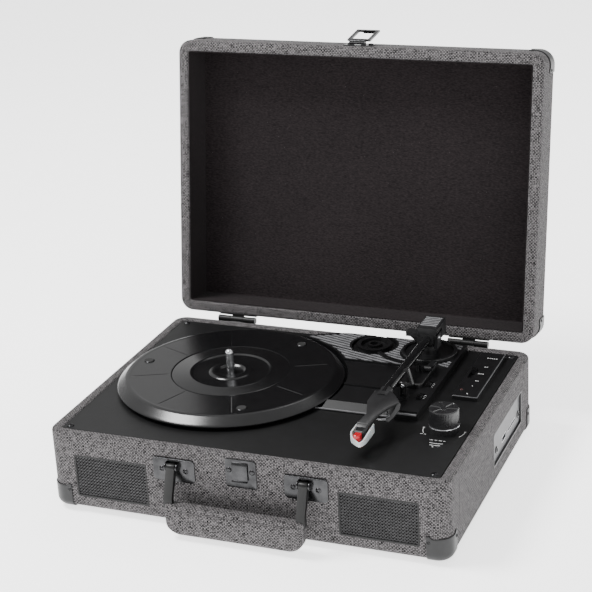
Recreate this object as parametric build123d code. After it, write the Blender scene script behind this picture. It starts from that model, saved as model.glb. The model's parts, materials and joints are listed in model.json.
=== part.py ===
"""Suitcase record player: a fabric-covered wooden case with a belt-drive turntable inside.

Millimetres. X runs to the player's right, Y to its back and Z up. The origin is the centre
of the base's footprint, on the surface that the rubber feet stand on. The lid is drawn
shut and then swung about its hinge pins to the open stop, which is the rest pose.
"""
import math
import os

from build123d import *

# ---------------------------------------------------------------- driving dimensions
# Case
case_width = 350.0
case_depth = 260.0
base_height = 70.0
lid_height = 42.0
wall = 9.0
lid_wall = 10.0
panel_thickness = 5.0
corner_radius = 12.0
case_edge_radius = 6.0
rim_gap = 0.5
lid_open_angle = 99.0
lining_thickness = 0.8
lid_clearance = 1.0

# Feet and corner guards
foot_height = 4.0
foot_radius = 8.0
foot_inset_x = 32.0
foot_inset_y = 22.4
foot_screw_radius = 1.5
guard_thickness = 1.2
guard_height = 21.0
guard_reach = 18.0
guard_ear = 9.0

# Top plate and the parts of the deck
plate_thickness = 2.0
plate_drop = 1.0
fit_gap = 0.3
running_gap = 0.05
moving_gap = 0.4
deck_height = 6.0
deck_right_of_pivot = 28.0
deck_front_of_pivot = 124.0
recess_depth = 1.5
lift_housing_height = 4.5

# Platter and drive
platter_radius = 100.5
platter_flat_radius = platter_radius - 8.5
platter_top_above_plate = 11.0
platter_bottom_above_plate = 3.0
platter_skin = 2.0
platter_y = 3.0
platter_side_gap = 1.0
drive_rim_radius = platter_radius - 30.5
drive_rim_wall = 2.0
pad_circle_radius = platter_radius - 20.5
pad_radius = 4.0
pad_proud = 0.6
spindle_radius = 3.6
shaft_radius = 3.0
shoulder_drop = 1.0
spindle_above_platter = 20.0
bush_radius = 6.0
bush_length = 18.0
pulley_radius = 5.0
belt_width = 4.0
belt_thickness = 0.8
belt_gap = 0.1
motor_from_drive_rim = 12.0
motor_radius = 17.0
motor_length = 24.0
motor_shaft_radius = 1.0

# Tonearm
pivot_from_platter_edge = 54.0
pivot_from_rear_wall = 27.0
pivot_above_plate = 22.0
turret_radius = 25.0
turret_lip = 3.0
turret_boss_radius = 8.0
yoke_axle_radius = 3.0
lift_pin_radius = 1.5
tube_radius = 4.0
stylus_overhang = 13.0
record_thickness = 2.0
lift_bar_radius = 49.0
lift_bar_width = 3.0
lift_travel = 4.0
lift_lever_angle = 60.0
rest_from_pivot = 97.0
clip_pin_radius = 1.0
clip_bar = 1.6
clip_open_lean = 75.0

# 45 rpm adapter
adapter_radius = 19.05
adapter_height = 5.0
adapter_bore_radius = 3.7

# Controls
knob_radius = 12.5
knob_height = 17.0
knob_y = -40.0
controls_from_right_wall = 21.0
control_panel_width = 22.5
control_panel_length = 94.0
control_panel_y = 65.0
control_panel_height = 4.0
slider_length = 6.0
slider_width = 4.0
slider_height = 2.5
slider_travel = 6.0
mode_travel = 12.0

# Front fittings
grille_width = 67.5
grille_height = 39.0
grille_thickness = 1.8
grille_x = 117.75
grille_z = 34.85
bracket_width = 37.5
bracket_height = 21.0
bracket_thickness = 1.5
bracket_x = 58.0
handle_pin_z = 58.0
handle_pin_out = 5.5
handle_pin_radius = 1.6
handle_arm_width = 8.0
handle_arm_thickness = 4.0
grip_half_length = 61.0
grip_top_z = 31.0
grip_bottom_z = 4.0
grip_thickness = 13.0
grip_corner_radius = 13.0
grip_out = 15.0
keeper_width = 27.0
keeper_height = 25.5
keeper_top_z = 71.0
keeper_x = 2.0
tongue_drop = 19.0
tongue_half_width = 6.75

# Lid latch
hasp_width = 22.0
hasp_bar = 3.0
hasp_thickness = 1.6
hasp_rest_angle = 165.0
latch_axis_above_rim = 5.0
latch_axis_out = 4.2
latch_barrel_radius = 2.4
latch_pin_radius = 1.0

# Hinges
hinge_axis_out = 4.5
hinge_barrel_radius = 3.0
hinge_pin_radius = 1.2
hinge_leaf_thickness = 1.2
hinge_width = 38.0
hinge_x = 115.0
hinge_leaf_height = 20.0

# Side and rear connectors
side_plate_length = 92.0
side_plate_height = 30.0
side_plate_y = 47.0
side_plate_z = 37.0
side_plate_recess = 1.5
side_plate_thickness = 1.5
jack_bore_radius = 1.75
rear_plate_length = 96.0
rear_plate_height = 30.0
rear_plate_z = 36.0
rca_pin_radius = 4.1
rca_pin_length = 8.0
rca_body_radius = 3.6
dc_bore_radius = 2.75

# ---------------------------------------------------------------- worked-out places
base_bottom = foot_height
base_top = base_bottom + base_height
plate_top = base_top - plate_drop
plate_bottom = plate_top - plate_thickness
floor_top = base_bottom + panel_thickness
inner_x = case_width / 2 - wall
inner_y = case_depth / 2 - wall
front_y = -case_depth / 2
rear_y = case_depth / 2
side_x = case_width / 2
lid_bottom = base_top + rim_gap
lid_top = lid_bottom + lid_height
hinge_y = rear_y + hinge_axis_out
hinge_z = base_top + rim_gap / 2

platter_x = -side_x + lid_wall + platter_side_gap + platter_radius
platter_top = plate_top + platter_top_above_plate
platter_bottom = plate_top + platter_bottom_above_plate
deck_top = plate_top + deck_height
pivot_x = platter_x + platter_radius + pivot_from_platter_edge
pivot_y = inner_y - pivot_from_rear_wall
pivot_z = plate_top + pivot_above_plate
deck_right = pivot_x + deck_right_of_pivot
deck_front = pivot_y - deck_front_of_pivot
arm_length = math.hypot(pivot_x - platter_x, pivot_y - platter_y) + stylus_overhang
stylus_y = pivot_y - arm_length
stylus_tip_z = platter_top + record_thickness
controls_x = inner_x - controls_from_right_wall
adapter_x = pivot_x - 54.0
adapter_y = inner_y - 22.0

plate_screw_x = inner_x - 6.0
plate_screw_y = inner_y - 5.0


# ---------------------------------------------------------------- helpers
def block(x0, x1, y0, y1, z0, z1):
    """A box between two opposite corners."""
    return Pos((x0 + x1) / 2, (y0 + y1) / 2, (z0 + z1) / 2) * Box(x1 - x0, y1 - y0, z1 - z0)


def rod(radius, start, length, direction=(0, 0, 1)):
    """A round bar from start, along direction."""
    return extrude(Plane(origin=start, z_dir=direction) * Circle(radius), amount=length)


def tube(outer, inner, start, length, direction=(0, 0, 1)):
    """A round bar with a hole through its length."""
    return rod(outer, start, length, direction) - rod(inner, start, length, direction)


def rounded_slab(width, depth, radius, x, y, z0, z1):
    """An upright slab whose plan is a rounded rectangle centred on x, y."""
    return extrude(Pos(x, y, z0) * RectangleRounded(width, depth, radius), amount=z1 - z0)


def front_slab(width, height, radius, x, z, y0, y1):
    """A slab facing the front or back, with a rounded-rectangle face centred on x, z."""
    plane = Plane(origin=(x, y0, z), x_dir=(1, 0, 0), z_dir=(0, 1, 0))
    return extrude(plane * RectangleRounded(width, height, radius), amount=y1 - y0)


def side_slab(length, height, radius, y, z, x0, x1):
    """A slab facing left or right, with a rounded-rectangle face centred on y, z."""
    plane = Plane(origin=(x0, y, z), x_dir=(0, 1, 0), z_dir=(1, 0, 0))
    return extrude(plane * RectangleRounded(length, height, radius), amount=x1 - x0)


def yz_prism(points, x0, x1):
    """A prism along X whose section is a polygon of y, z points."""
    section = make_face(Polyline([(x0, y, z) for y, z in points], close=True))
    return extrude(section, amount=x1 - x0, dir=(1, 0, 0))


def xz_prism(points, y0, y1):
    """A prism along Y whose section is a polygon of x, z points."""
    section = make_face(Polyline([(x, y0, z) for x, z in points], close=True))
    return extrude(section, amount=y1 - y0, dir=(0, 1, 0))


def opened(shape):
    """Swings a piece drawn on the shut lid about the hinge pins to the open stop."""
    return shape.rotate(Axis((0, hinge_y, hinge_z), (-1, 0, 0)), lid_open_angle)


def keep(name, *shapes):
    """Writes one node: a solid, or a group of separate solids."""
    solids = [solid for shape in shapes for solid in shape.solids()]
    node = solids[0] if len(solids) == 1 else Compound(children=solids)
    export_step(node, f"parts/{name}.step")


# ---------------------------------------------------------------- case
def case_shell(bottom, height, rounded_side, grow=0.0):
    """The outside of the base or of the lid, with its far face's edges rounded."""
    outline = RectangleRounded(
        case_width + 2 * grow, case_depth + 2 * grow, corner_radius + grow
    )
    low = bottom - (grow if rounded_side == "bottom" else 0.0)
    body = extrude(Pos(0, 0, low) * outline, amount=height + grow)
    faces = body.faces().sort_by(Axis.Z)
    far_face = faces[0] if rounded_side == "bottom" else faces[-1]
    return fillet(far_face.edges(), radius=case_edge_radius + grow)


def case_walls(shell, thickness, low, high):
    """Front, rear, left and right panels cut from a case shell, in that order."""
    far = case_width + case_depth
    inner_half_x = side_x - thickness
    inner_half_y = rear_y - thickness
    front = shell & block(-far, far, -far, -inner_half_y, low, high)
    rear = shell & block(-far, far, inner_half_y, far, low, high)
    left = shell & block(-far, -inner_half_x, -inner_half_y, inner_half_y, low, high)
    right = shell & block(inner_half_x, far, -inner_half_y, inner_half_y, low, high)
    return front, rear, left, right


def corner_guards(shell, grown, low, high):
    """Four moulded guards that wrap a case's far corners, each with a screw ear."""
    skin = grown - shell
    guards = []
    for x_side in (-1, 1):
        for y_side in (-1, 1):
            x_in, x_out = x_side * (side_x - guard_reach), x_side * (side_x + guard_thickness + 1)
            y_in, y_out = y_side * (rear_y - guard_reach), y_side * (rear_y + guard_thickness + 1)
            region = block(
                min(x_in, x_out), max(x_in, x_out), min(y_in, y_out), max(y_in, y_out), low, high
            )
            guards.append(skin & region)
    return guards


def make_base():
    """The base's five wooden panels, glue blocks, plate, feet and guards."""
    shell = case_shell(base_bottom, base_height, "bottom")
    front, rear, left, right = case_walls(shell, wall, base_bottom, base_top)
    for side in (-1, 1):
        front -= front_slab(
            grille_width - 8, grille_height - 8, 4, side * grille_x, grille_z, front_y - 1, -inner_y + 1
        )
        front -= front_slab(
            grille_width + fit_gap, grille_height + fit_gap, 2, side * grille_x, grille_z,
            front_y - 1, front_y + grille_thickness,
        )
    right -= side_slab(
        side_plate_length + fit_gap, side_plate_height + fit_gap, 2, side_plate_y, side_plate_z,
        side_x - side_plate_recess - side_plate_thickness, side_x + 1,
    )
    right -= side_slab(
        side_plate_length - 3, side_plate_height - 3, 2, side_plate_y, side_plate_z,
        inner_x - 1, side_x + 1,
    )
    rear -= front_slab(
        rear_plate_length - 10, rear_plate_height - 8, 2, 0, rear_plate_z, inner_y - 1, rear_y + 1
    )
    keep("base_wall_panels", front, rear, left, right)
    keep("base_bottom_panel", block(-inner_x, inner_x, -inner_y, inner_y, base_bottom, floor_top))

    grown = case_shell(base_bottom, base_height, "bottom", guard_thickness)
    guards = corner_guards(shell, grown, base_bottom - 2, base_bottom + guard_height)
    keep("base_corner_guards", *guards)

    feet, screws = [], []
    foot_x = side_x - foot_inset_x
    foot_y = rear_y - foot_inset_y
    for x in (-foot_x, foot_x):
        for y in (-foot_y, foot_y):
            foot = rod(foot_radius, (x, y, 0), foot_height)
            foot = chamfer(foot.edges().sort_by(Axis.Z)[0], length=1.0)
            foot -= rod(2 * foot_screw_radius, (x, y, 0), foot_height / 2)
            foot -= rod(foot_screw_radius, (x, y, 0), foot_height)
            feet.append(foot)
            screw = rod(2 * foot_screw_radius - 0.1, (x, y, 0.6), foot_height / 2 - 0.6)
            screw += rod(foot_screw_radius, (x, y, 1.0), foot_height - 1.0)
            screws.append(screw)
    keep("rubber_feet", *feet)
    keep("foot_screws", *screws)


def make_plate():
    """The black top plate, the blocks that carry it and its four screws."""
    plate = rounded_slab(
        2 * (inner_x - fit_gap), 2 * (inner_y - fit_gap), 2, 0, 0, plate_bottom, plate_top
    )
    plate -= rod(bush_radius, (platter_x, platter_y, plate_bottom), plate_thickness)
    plate -= rod(pulley_radius + 1.5, (*motor_place(), plate_bottom), plate_thickness)
    plate -= rod(turret_boss_radius - 2, (pivot_x, pivot_y, plate_bottom), plate_thickness)
    plate -= rod(4.0, (controls_x, knob_y, plate_bottom), plate_thickness)
    blocks, screws = [], []
    for x in (-plate_screw_x, plate_screw_x):
        for y in (-plate_screw_y, plate_screw_y):
            plate -= rod(1.5, (x, y, plate_bottom), plate_thickness)
            x0, x1 = (-inner_x, -inner_x + 12) if x < 0 else (inner_x - 12, inner_x)
            y0, y1 = (-inner_y, -inner_y + 12) if y < 0 else (inner_y - 12, inner_y)
            glue_block = block(x0, x1, y0, y1, floor_top, plate_bottom)
            blocks.append(glue_block - rod(1.5, (x, y, plate_bottom - 10), 10))
            screw = rod(1.5, (x, y, plate_bottom - 10), plate_thickness + 10)
            head = rod(3.2, (x, y, plate_top), 1.4)
            head = fillet(head.edges().sort_by(Axis.Z)[-1], radius=1.0)
            screws.append(screw + head)
    keep("top_plate", plate)
    keep("corner_blocks", *blocks)
    keep("plate_screws", *screws)


def make_lid():
    """The lid's panels, lining and corner guards, swung to the open stop."""
    shell = case_shell(lid_bottom, lid_height, "top")
    walls = case_walls(shell, lid_wall, lid_bottom, lid_top)
    keep("lid_wall_panels", *[opened(panel) for panel in walls])
    lid_x, lid_y = side_x - lid_wall, rear_y - lid_wall
    inside_top = lid_top - panel_thickness
    keep("lid_top_panel", opened(block(-lid_x, lid_x, -lid_y, lid_y, inside_top, lid_top)))
    lining = block(
        -lid_x + fit_gap, lid_x - fit_gap, -lid_y + fit_gap, lid_y - fit_gap,
        inside_top - lining_thickness, inside_top,
    )
    keep("lid_lining", opened(lining))
    grown = case_shell(lid_bottom, lid_height, "top", guard_thickness)
    guards = corner_guards(shell, grown, lid_top - guard_height, lid_top + 2)
    keep("lid_corner_guards", *[opened(guard) for guard in guards])


# ---------------------------------------------------------------- hinges
def make_hinges():
    """Two knuckle hinges: a leaf on the base, a leaf on the lid and a pin each."""
    third = hinge_width / 3
    base_leaves, lid_leaves, pins = [], [], []
    web_low = hinge_z - hinge_barrel_radius
    for side in (-1, 1):
        centre = side * hinge_x
        left = centre - hinge_width / 2
        outer = ((left, third), (left + 2 * third, third))
        base_leaf = block(
            left, left + hinge_width, rear_y, rear_y + hinge_leaf_thickness,
            web_low - hinge_leaf_height, web_low + hinge_leaf_thickness,
        )
        for x, width in outer:
            base_leaf += block(
                x, x + width, rear_y, hinge_y, web_low, web_low + hinge_leaf_thickness
            )
            base_leaf += rod(hinge_barrel_radius, (x, hinge_y, hinge_z), width, (1, 0, 0))
            base_leaf -= rod(hinge_pin_radius, (x, hinge_y, hinge_z), width, (1, 0, 0))
        base_leaves.append(base_leaf)

        x0 = left + third + fit_gap
        width = third - 2 * fit_gap
        web_high = hinge_z + hinge_barrel_radius
        lid_leaf = block(
            left, left + hinge_width, rear_y, rear_y + hinge_leaf_thickness,
            web_high - hinge_leaf_thickness, web_high + hinge_leaf_height,
        )
        lid_leaf += block(
            x0, x0 + width, rear_y, hinge_y, web_high - hinge_leaf_thickness, web_high
        )
        lid_leaf += rod(hinge_barrel_radius, (x0, hinge_y, hinge_z), width, (1, 0, 0))
        bore = hinge_pin_radius + running_gap
        lid_leaf -= rod(bore, (x0, hinge_y, hinge_z), width, (1, 0, 0))
        lid_leaves.append(opened(lid_leaf))
        pins.append(rod(hinge_pin_radius, (left, hinge_y, hinge_z), hinge_width, (1, 0, 0)))
    keep("hinge_base_leaves", *base_leaves)
    keep("hinge_lid_leaves", *lid_leaves)
    keep("hinge_pins", *pins)


def domed_screw(x, z, y, outward):
    """The domed head of a screw or rivet on a front (outward -1) or rear (1) face."""
    head = rod(2.5, (x, y, z), 1.3, (0, outward, 0))
    rim = head.edges().sort_by(Axis.Y)[-1 if outward > 0 else 0]
    return fillet(rim, radius=1.0)


# ---------------------------------------------------------------- platter and drive
def motor_place():
    """Plan position of the motor shaft: outside the drive rim, inside the platter's skirt."""
    reach = drive_rim_radius + motor_from_drive_rim
    angle = math.radians(-35)
    return platter_x + reach * math.cos(angle), platter_y + reach * math.sin(angle)


def make_platter():
    """The platter with its drive rim underneath, three rubber pads and the spindle."""
    r, flat = platter_radius, platter_flat_radius
    low, top = platter_bottom, platter_top
    under = top - platter_skin
    rim_in, rim_out = drive_rim_radius - drive_rim_wall, drive_rim_radius
    hub = bush_radius + 6
    profile = [
        (shaft_radius, low + 2), (hub, low + 2), (hub, under - 1), (rim_in, under), (rim_in, low + 1),
        (rim_out, low + 1), (rim_out, under), (flat - 2, under), (r - 3.5, low + 1), (r - 3.5, low),
        (r, low), (r, low + 2), (flat, top), (37, top), (35.5, top - 0.9), (20, top - 0.9),
        (19, top - 0.2), (13, top - 0.2), (11.5, top - 1.8), (shaft_radius, top - 1.8),
    ]
    section = make_face(Polyline([(x, 0, z) for x, z in profile], close=True))
    platter = Pos(platter_x, platter_y, 0) * revolve(section, Axis.Z)
    pads = []
    for angle in (60, 180, 300):
        x = platter_x + pad_circle_radius * math.cos(math.radians(angle))
        y = platter_y + pad_circle_radius * math.sin(math.radians(angle))
        platter -= rod(pad_radius, (x, y, top - 0.8), 1)
        pad = rod(pad_radius, (x, y, top - 0.8), 0.8 + pad_proud)
        pads.append(fillet(pad.edges().sort_by(Axis.Z)[-1], radius=0.4))
    keep("platter", platter)
    keep("platter_pads", *pads)

    spindle_top = top + spindle_above_platter
    spindle_low = plate_bottom - bush_length + plate_thickness + 2
    shoulder = top - shoulder_drop
    spindle = rod(spindle_radius, (platter_x, platter_y, shoulder), spindle_top - shoulder)
    spindle = fillet(spindle.edges().sort_by(Axis.Z)[-1], radius=spindle_radius * 0.9)
    spindle += rod(shaft_radius, (platter_x, platter_y, spindle_low), shoulder - spindle_low)
    keep("spindle", spindle)

    bush_low = plate_top - bush_length
    bush = rod(bush_radius, (platter_x, platter_y, bush_low), bush_length)
    bush += rod(bush_radius + 4, (platter_x, platter_y, plate_bottom - 2), 2)
    bore = shaft_radius + running_gap
    bush -= rod(bore, (platter_x, platter_y, bush_low + 1.5), bush_length)
    keep("spindle_bush", bush)


def make_drive():
    """The motor under the plate, its pulley and the flat belt round the platter's drive rim."""
    x, y = motor_place()
    belt_low = platter_bottom + 1.0
    belt_high = belt_low + belt_width
    motor = rod(motor_radius, (x, y, plate_bottom - motor_length), motor_length - 3)
    motor += rod(motor_radius + 4, (x, y, plate_bottom - 3), 3)
    motor -= rod(motor_shaft_radius + running_gap, (x, y, plate_bottom - 14), 14)
    keep("motor", motor)
    flange = 0.5
    pulley = rod(pulley_radius, (x, y, belt_low - 0.6), belt_width + 1.1)
    for flange_z in (belt_low - 0.6, belt_high + belt_gap):
        pulley += rod(pulley_radius + 1.0, (x, y, flange_z), flange)
    pulley += rod(motor_shaft_radius, (x, y, plate_bottom - 12), belt_low - plate_bottom + 12)
    keep("motor_pulley", pulley)

    inner_big = drive_rim_radius + belt_gap
    inner_small = pulley_radius + belt_gap
    outer = belt_outline(inner_big + belt_thickness, inner_small + belt_thickness, x, y)
    inner = belt_outline(inner_big, inner_small, x, y)
    belt = extrude(Pos(0, 0, belt_low) * outer, amount=belt_width)
    belt -= extrude(Pos(0, 0, belt_low) * inner, amount=belt_width)
    keep("drive_belt", belt)


def belt_outline(big, small, x, y):
    """The convex outline round the drive rim's circle and the pulley's circle."""
    reach = math.hypot(x - platter_x, y - platter_y)
    heading = math.atan2(y - platter_y, x - platter_x)
    lean = math.acos((big - small) / reach)
    sides = []
    for turn in (lean, -lean):
        direction = (math.cos(heading + turn), math.sin(heading + turn))
        sides.append((platter_x + big * direction[0], platter_y + big * direction[1]))
        sides.append((x + small * direction[0], y + small * direction[1]))
    band = make_face(Polyline([sides[0], sides[1], sides[3], sides[2]], close=True))
    return band + Pos(platter_x, platter_y) * Circle(big) + Pos(x, y) * Circle(small)


# ---------------------------------------------------------------- deck
def make_deck():
    """The raised deck moulding beside the platter, with its recesses and lift housing."""
    back = rear_y - lid_wall - lid_clearance
    clear = platter_radius + 2.5
    tip_x = platter_x + clear * 0.3
    tip_y = platter_y + clear * 0.954
    shoulder_x = pivot_x - 83
    outline = make_face(
        Polyline((tip_x, tip_y), (tip_x, deck_front), (deck_right, deck_front), (deck_right, back),
                 (shoulder_x, back))
        + ThreePointArc((shoulder_x, back), ((shoulder_x + tip_x) / 2 - 2, (back + tip_y) / 2 + 2.5),
                        (tip_x, tip_y))
    )
    deck = extrude(Pos(0, 0, plate_top) * outline, amount=deck_height)
    deck -= rod(clear, (platter_x, platter_y, plate_top), deck_height)
    ramp_right = pivot_x + 8
    deck -= yz_prism(
        [(deck_front - 1, plate_top + 1.5), (deck_front + 8, deck_top), (deck_front + 8, deck_top + 1),
         (deck_front - 1, deck_top + 1)],
        platter_x, ramp_right,
    )
    ridge_y = deck_front + 42
    recess_right = pivot_x - 10
    for y0, y1 in ((deck_front + 9, ridge_y), (ridge_y + 3, pivot_y - 32)):
        deck -= block(platter_x, recess_right, y0, y1, deck_top - recess_depth, deck_top)
    deck += lift_housing()
    deck -= rod(adapter_radius + 1.5, (adapter_x, adapter_y, deck_top - 3.5), 4)
    deck -= rod(turret_boss_radius - 2, (pivot_x, pivot_y, plate_top), deck_height)
    deck -= rod(2.05, (pivot_x + 5, pivot_y - lift_bar_radius, plate_top), 20)
    for x, y in switch_places():
        deck -= block(
            x - slider_width / 2 - fit_gap, x + slider_width / 2 + fit_gap,
            y - slider_length / 2 - slider_travel / 2 - fit_gap,
            y + slider_length / 2 + slider_travel / 2 + fit_gap,
            deck_top - 2, deck_top + 20,
        )
    keep("deck_housing", deck)

    turret = rod(turret_radius, (pivot_x, pivot_y, deck_top), 1.5)
    lip = rod(turret_radius, (pivot_x, pivot_y, deck_top), 3.5)
    lip -= rod(turret_radius - turret_lip, (pivot_x, pivot_y, deck_top), 3.5)
    turret += fillet(lip.edges().filter_by(GeomType.CIRCLE).group_by(Axis.Z)[-1], radius=0.8)
    turret += rod(turret_boss_radius, (pivot_x, pivot_y, deck_top), 5)
    turret += rod(turret_boss_radius - 2, (pivot_x, pivot_y, plate_bottom), deck_top - plate_bottom)
    turret -= rod(yoke_axle_radius + running_gap, (pivot_x, pivot_y, plate_bottom), 30)
    keep("tonearm_turret", turret)

    adapter = rod(adapter_radius, (adapter_x, adapter_y, deck_top - 3.5), 1.6)
    adapter += rod(adapter_radius - 3, (adapter_x, adapter_y, deck_top - 3.5), adapter_height)
    adapter = adapter - rod(adapter_radius - 7, (adapter_x, adapter_y, deck_top - 1.5), adapter_height)
    adapter += rod(6.5, (adapter_x, adapter_y, deck_top - 3.5), adapter_height)
    adapter -= rod(adapter_bore_radius, (adapter_x, adapter_y, deck_top - 3.5), adapter_height)
    keep("adapter_45", adapter)


def lift_housing():
    """The raised box in front of the turret that holds the cueing lift and the switches."""
    y0, y1 = pivot_y - 76, pivot_y - 26 - 1.5
    high = rounded_slab(21, y1 - y0, 4, pivot_x + 5.5, (y0 + y1) / 2, deck_top - 1,
                        deck_top + lift_housing_height)
    high = fillet(high.edges().group_by(Axis.Z)[-1], radius=1.5)
    hub_x, hub_y, hub_z = cue_lever_place()
    high += rod(1.2, (hub_x - 3, hub_y, hub_z), 9.5, (1, 0, 0))
    high += block(
        hub_x - 3, hub_x - fit_gap, hub_y - 2.5, hub_y + 2.5, deck_top + lift_housing_height - 1, hub_z + 2
    )
    step = block(pivot_x + 8.5, deck_right - 0.5, deck_front + 2, deck_front + 14, plate_top, deck_top + 1)
    return high + step


def cue_lever_place():
    """Where the cue lever's pin starts, above the lift housing."""
    return pivot_x + 11, pivot_y - lift_bar_radius, deck_top + lift_housing_height + 3


def switch_places():
    """Plan positions of the speed switch and the auto-stop switch."""
    return (deck_right - 8, pivot_y - 64), (deck_right - 8, pivot_y - 90)


def slider(x, y, z0, z1):
    """A small slide button with a ridged top, on a stem."""
    cap = block(x - slider_width / 2, x + slider_width / 2, y - slider_length / 2, y + slider_length / 2, z0, z1)
    for i in range(3):
        ridge_y = y + (i - 1) * 1.6
        cap -= block(x - slider_width, x + slider_width, ridge_y - 0.3, ridge_y + 0.3, z1 - 0.5, z1)
    return cap


def make_controls():
    """Switch buttons, control panel, lamp, volume knob and its potentiometer."""
    names = ("speed_switch", "auto_stop_switch")
    for name, (x, y) in zip(names, switch_places()):
        keep(name, slider(x, y - slider_travel / 2, deck_top - 1.6, deck_top + slider_height))

    panel_top = plate_top + control_panel_height
    panel = rounded_slab(
        control_panel_width, control_panel_length, 1.5, controls_x, control_panel_y,
        plate_top, panel_top,
    )
    panel = chamfer(panel.edges().group_by(Axis.Z)[-1], length=0.8)
    mode_x = controls_x - 6
    panel -= block(
        mode_x - slider_width / 2 - fit_gap, mode_x + slider_width / 2 + fit_gap,
        control_panel_y - mode_travel / 2 - slider_length / 2 - fit_gap,
        control_panel_y + mode_travel / 2 + slider_length / 2 + fit_gap,
        plate_top + 1.5, panel_top,
    )
    led_place = (controls_x - 6, control_panel_y - 34)
    panel -= rod(1.5, (*led_place, plate_top + 1), 5)
    keep("control_panel", panel)
    mode_y = control_panel_y + mode_travel / 2
    keep("mode_switch", slider(mode_x, mode_y, plate_top + 2, panel_top + slider_height))
    led = rod(1.5, (*led_place, plate_top + 1), control_panel_height - 0.2)
    keep("power_lamp", fillet(led.edges().sort_by(Axis.Z)[-1], radius=1.0))

    knob_low = plate_top + moving_gap
    knob = rod(knob_radius, (controls_x, knob_y, knob_low + 3), knob_height)
    knob = fillet(knob.edges().sort_by(Axis.Z)[-1], radius=1.2)
    knob += rod(knob_radius + 1.5, (controls_x, knob_y, knob_low), 3)
    knob += rod(3.0, (controls_x, knob_y, plate_bottom - 6), knob_low - plate_bottom + 6)
    for i in range(6):
        notch = block(knob_radius - 6, knob_radius + 3, -0.6, 0.6, 0, 2)
        knob -= Pos(controls_x, knob_y, knob_low + 2 + knob_height) * Rot(0, 0, 60 * i) * notch
    keep("volume_knob", knob)
    pot = block(controls_x - 9, controls_x + 9, knob_y - 9, knob_y + 9, plate_bottom - 14, plate_bottom - 3)
    pot += rod(4.0, (controls_x, knob_y, plate_bottom - 3), plate_thickness + 3)
    pot -= rod(3.0 + running_gap, (controls_x, knob_y, plate_bottom - 6.5), 20)
    keep("volume_potentiometer", pot)


# ---------------------------------------------------------------- tonearm
def make_tonearm():
    """The yoke, the arm with its headshell and cartridge, its counterweight and the cueing lift."""
    x, y, z = pivot_x, pivot_y, pivot_z
    boss_top = deck_top + 5
    yoke_low = boss_top + fit_gap
    yoke_floor = z - 7
    cheek_in, cheek_out = 6.5, 9.5
    yoke = rod(turret_boss_radius + 0.5, (x, y, yoke_low), yoke_floor - yoke_low)
    yoke += block(x - cheek_out, x + cheek_out, y - 6, y + 6, yoke_floor - 2.5, yoke_floor)
    for side in (-1, 1):
        inner, outer = sorted((x + side * cheek_in, x + side * cheek_out))
        yoke += block(inner, outer, y - 6, y + 6, yoke_floor - 2.5, z + 4)
    yoke += block(x - cheek_out - 11, x - cheek_out, y - 4, y + 4, z, z + 4)
    yoke += xz_prism(
        [(x - cheek_out, z), (x - cheek_out, z - 8), (x - cheek_out - 9, z)], y - 1.5, y + 1.5
    )
    axle_low = plate_bottom - 3
    yoke += rod(yoke_axle_radius, (x, y, axle_low), yoke_low - axle_low)
    yoke += rod(lift_pin_radius, (x - cheek_out, y, z), 2 * cheek_out, (1, 0, 0))
    keep("tonearm_yoke", yoke)

    carrier_half = cheek_in - moving_gap
    carrier = block(x - carrier_half, x + carrier_half, y - 8, y + 8, z - 4.5, z + 4.5)
    carrier -= rod(lift_pin_radius + running_gap, (x - cheek_out, y, z), 2 * cheek_out, (1, 0, 0))
    socket_depth = 5.0
    tube_back = y - 8 + socket_depth
    headshell_back = stylus_y + 72
    arm_tube = rod(tube_radius, (x, headshell_back - 6, z), tube_back - headshell_back + 6, (0, 1, 0))
    carrier -= rod(tube_radius, (x, y - 8, z), socket_depth, (0, 1, 0))
    carrier += block(x - 4, x + 4, y - 5, y + 5, z + 4.5, z + 5.4)
    keep("arm_carrier", carrier)
    keep("arm_tube", arm_tube)

    weight_front = y - 7
    weight = block(x - 9.5, x + 9.5, weight_front, y + 21, z + 5.4, z + 11)
    weight += block(x - 9.5, x + 9.5, y + 8, y + 21, z - 4, z + 11)
    weight = chamfer(weight.edges().filter_by(Axis.Y), length=1.0)
    for i in range(5):
        groove = y + 1 + i * 4
        weight -= block(x - 7, x + 7, groove, groove + 1.4, z + 10.2, z + 12)
    keep("counterweight", weight)

    make_headshell(headshell_back)
    make_lift()
    make_rest()


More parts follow.
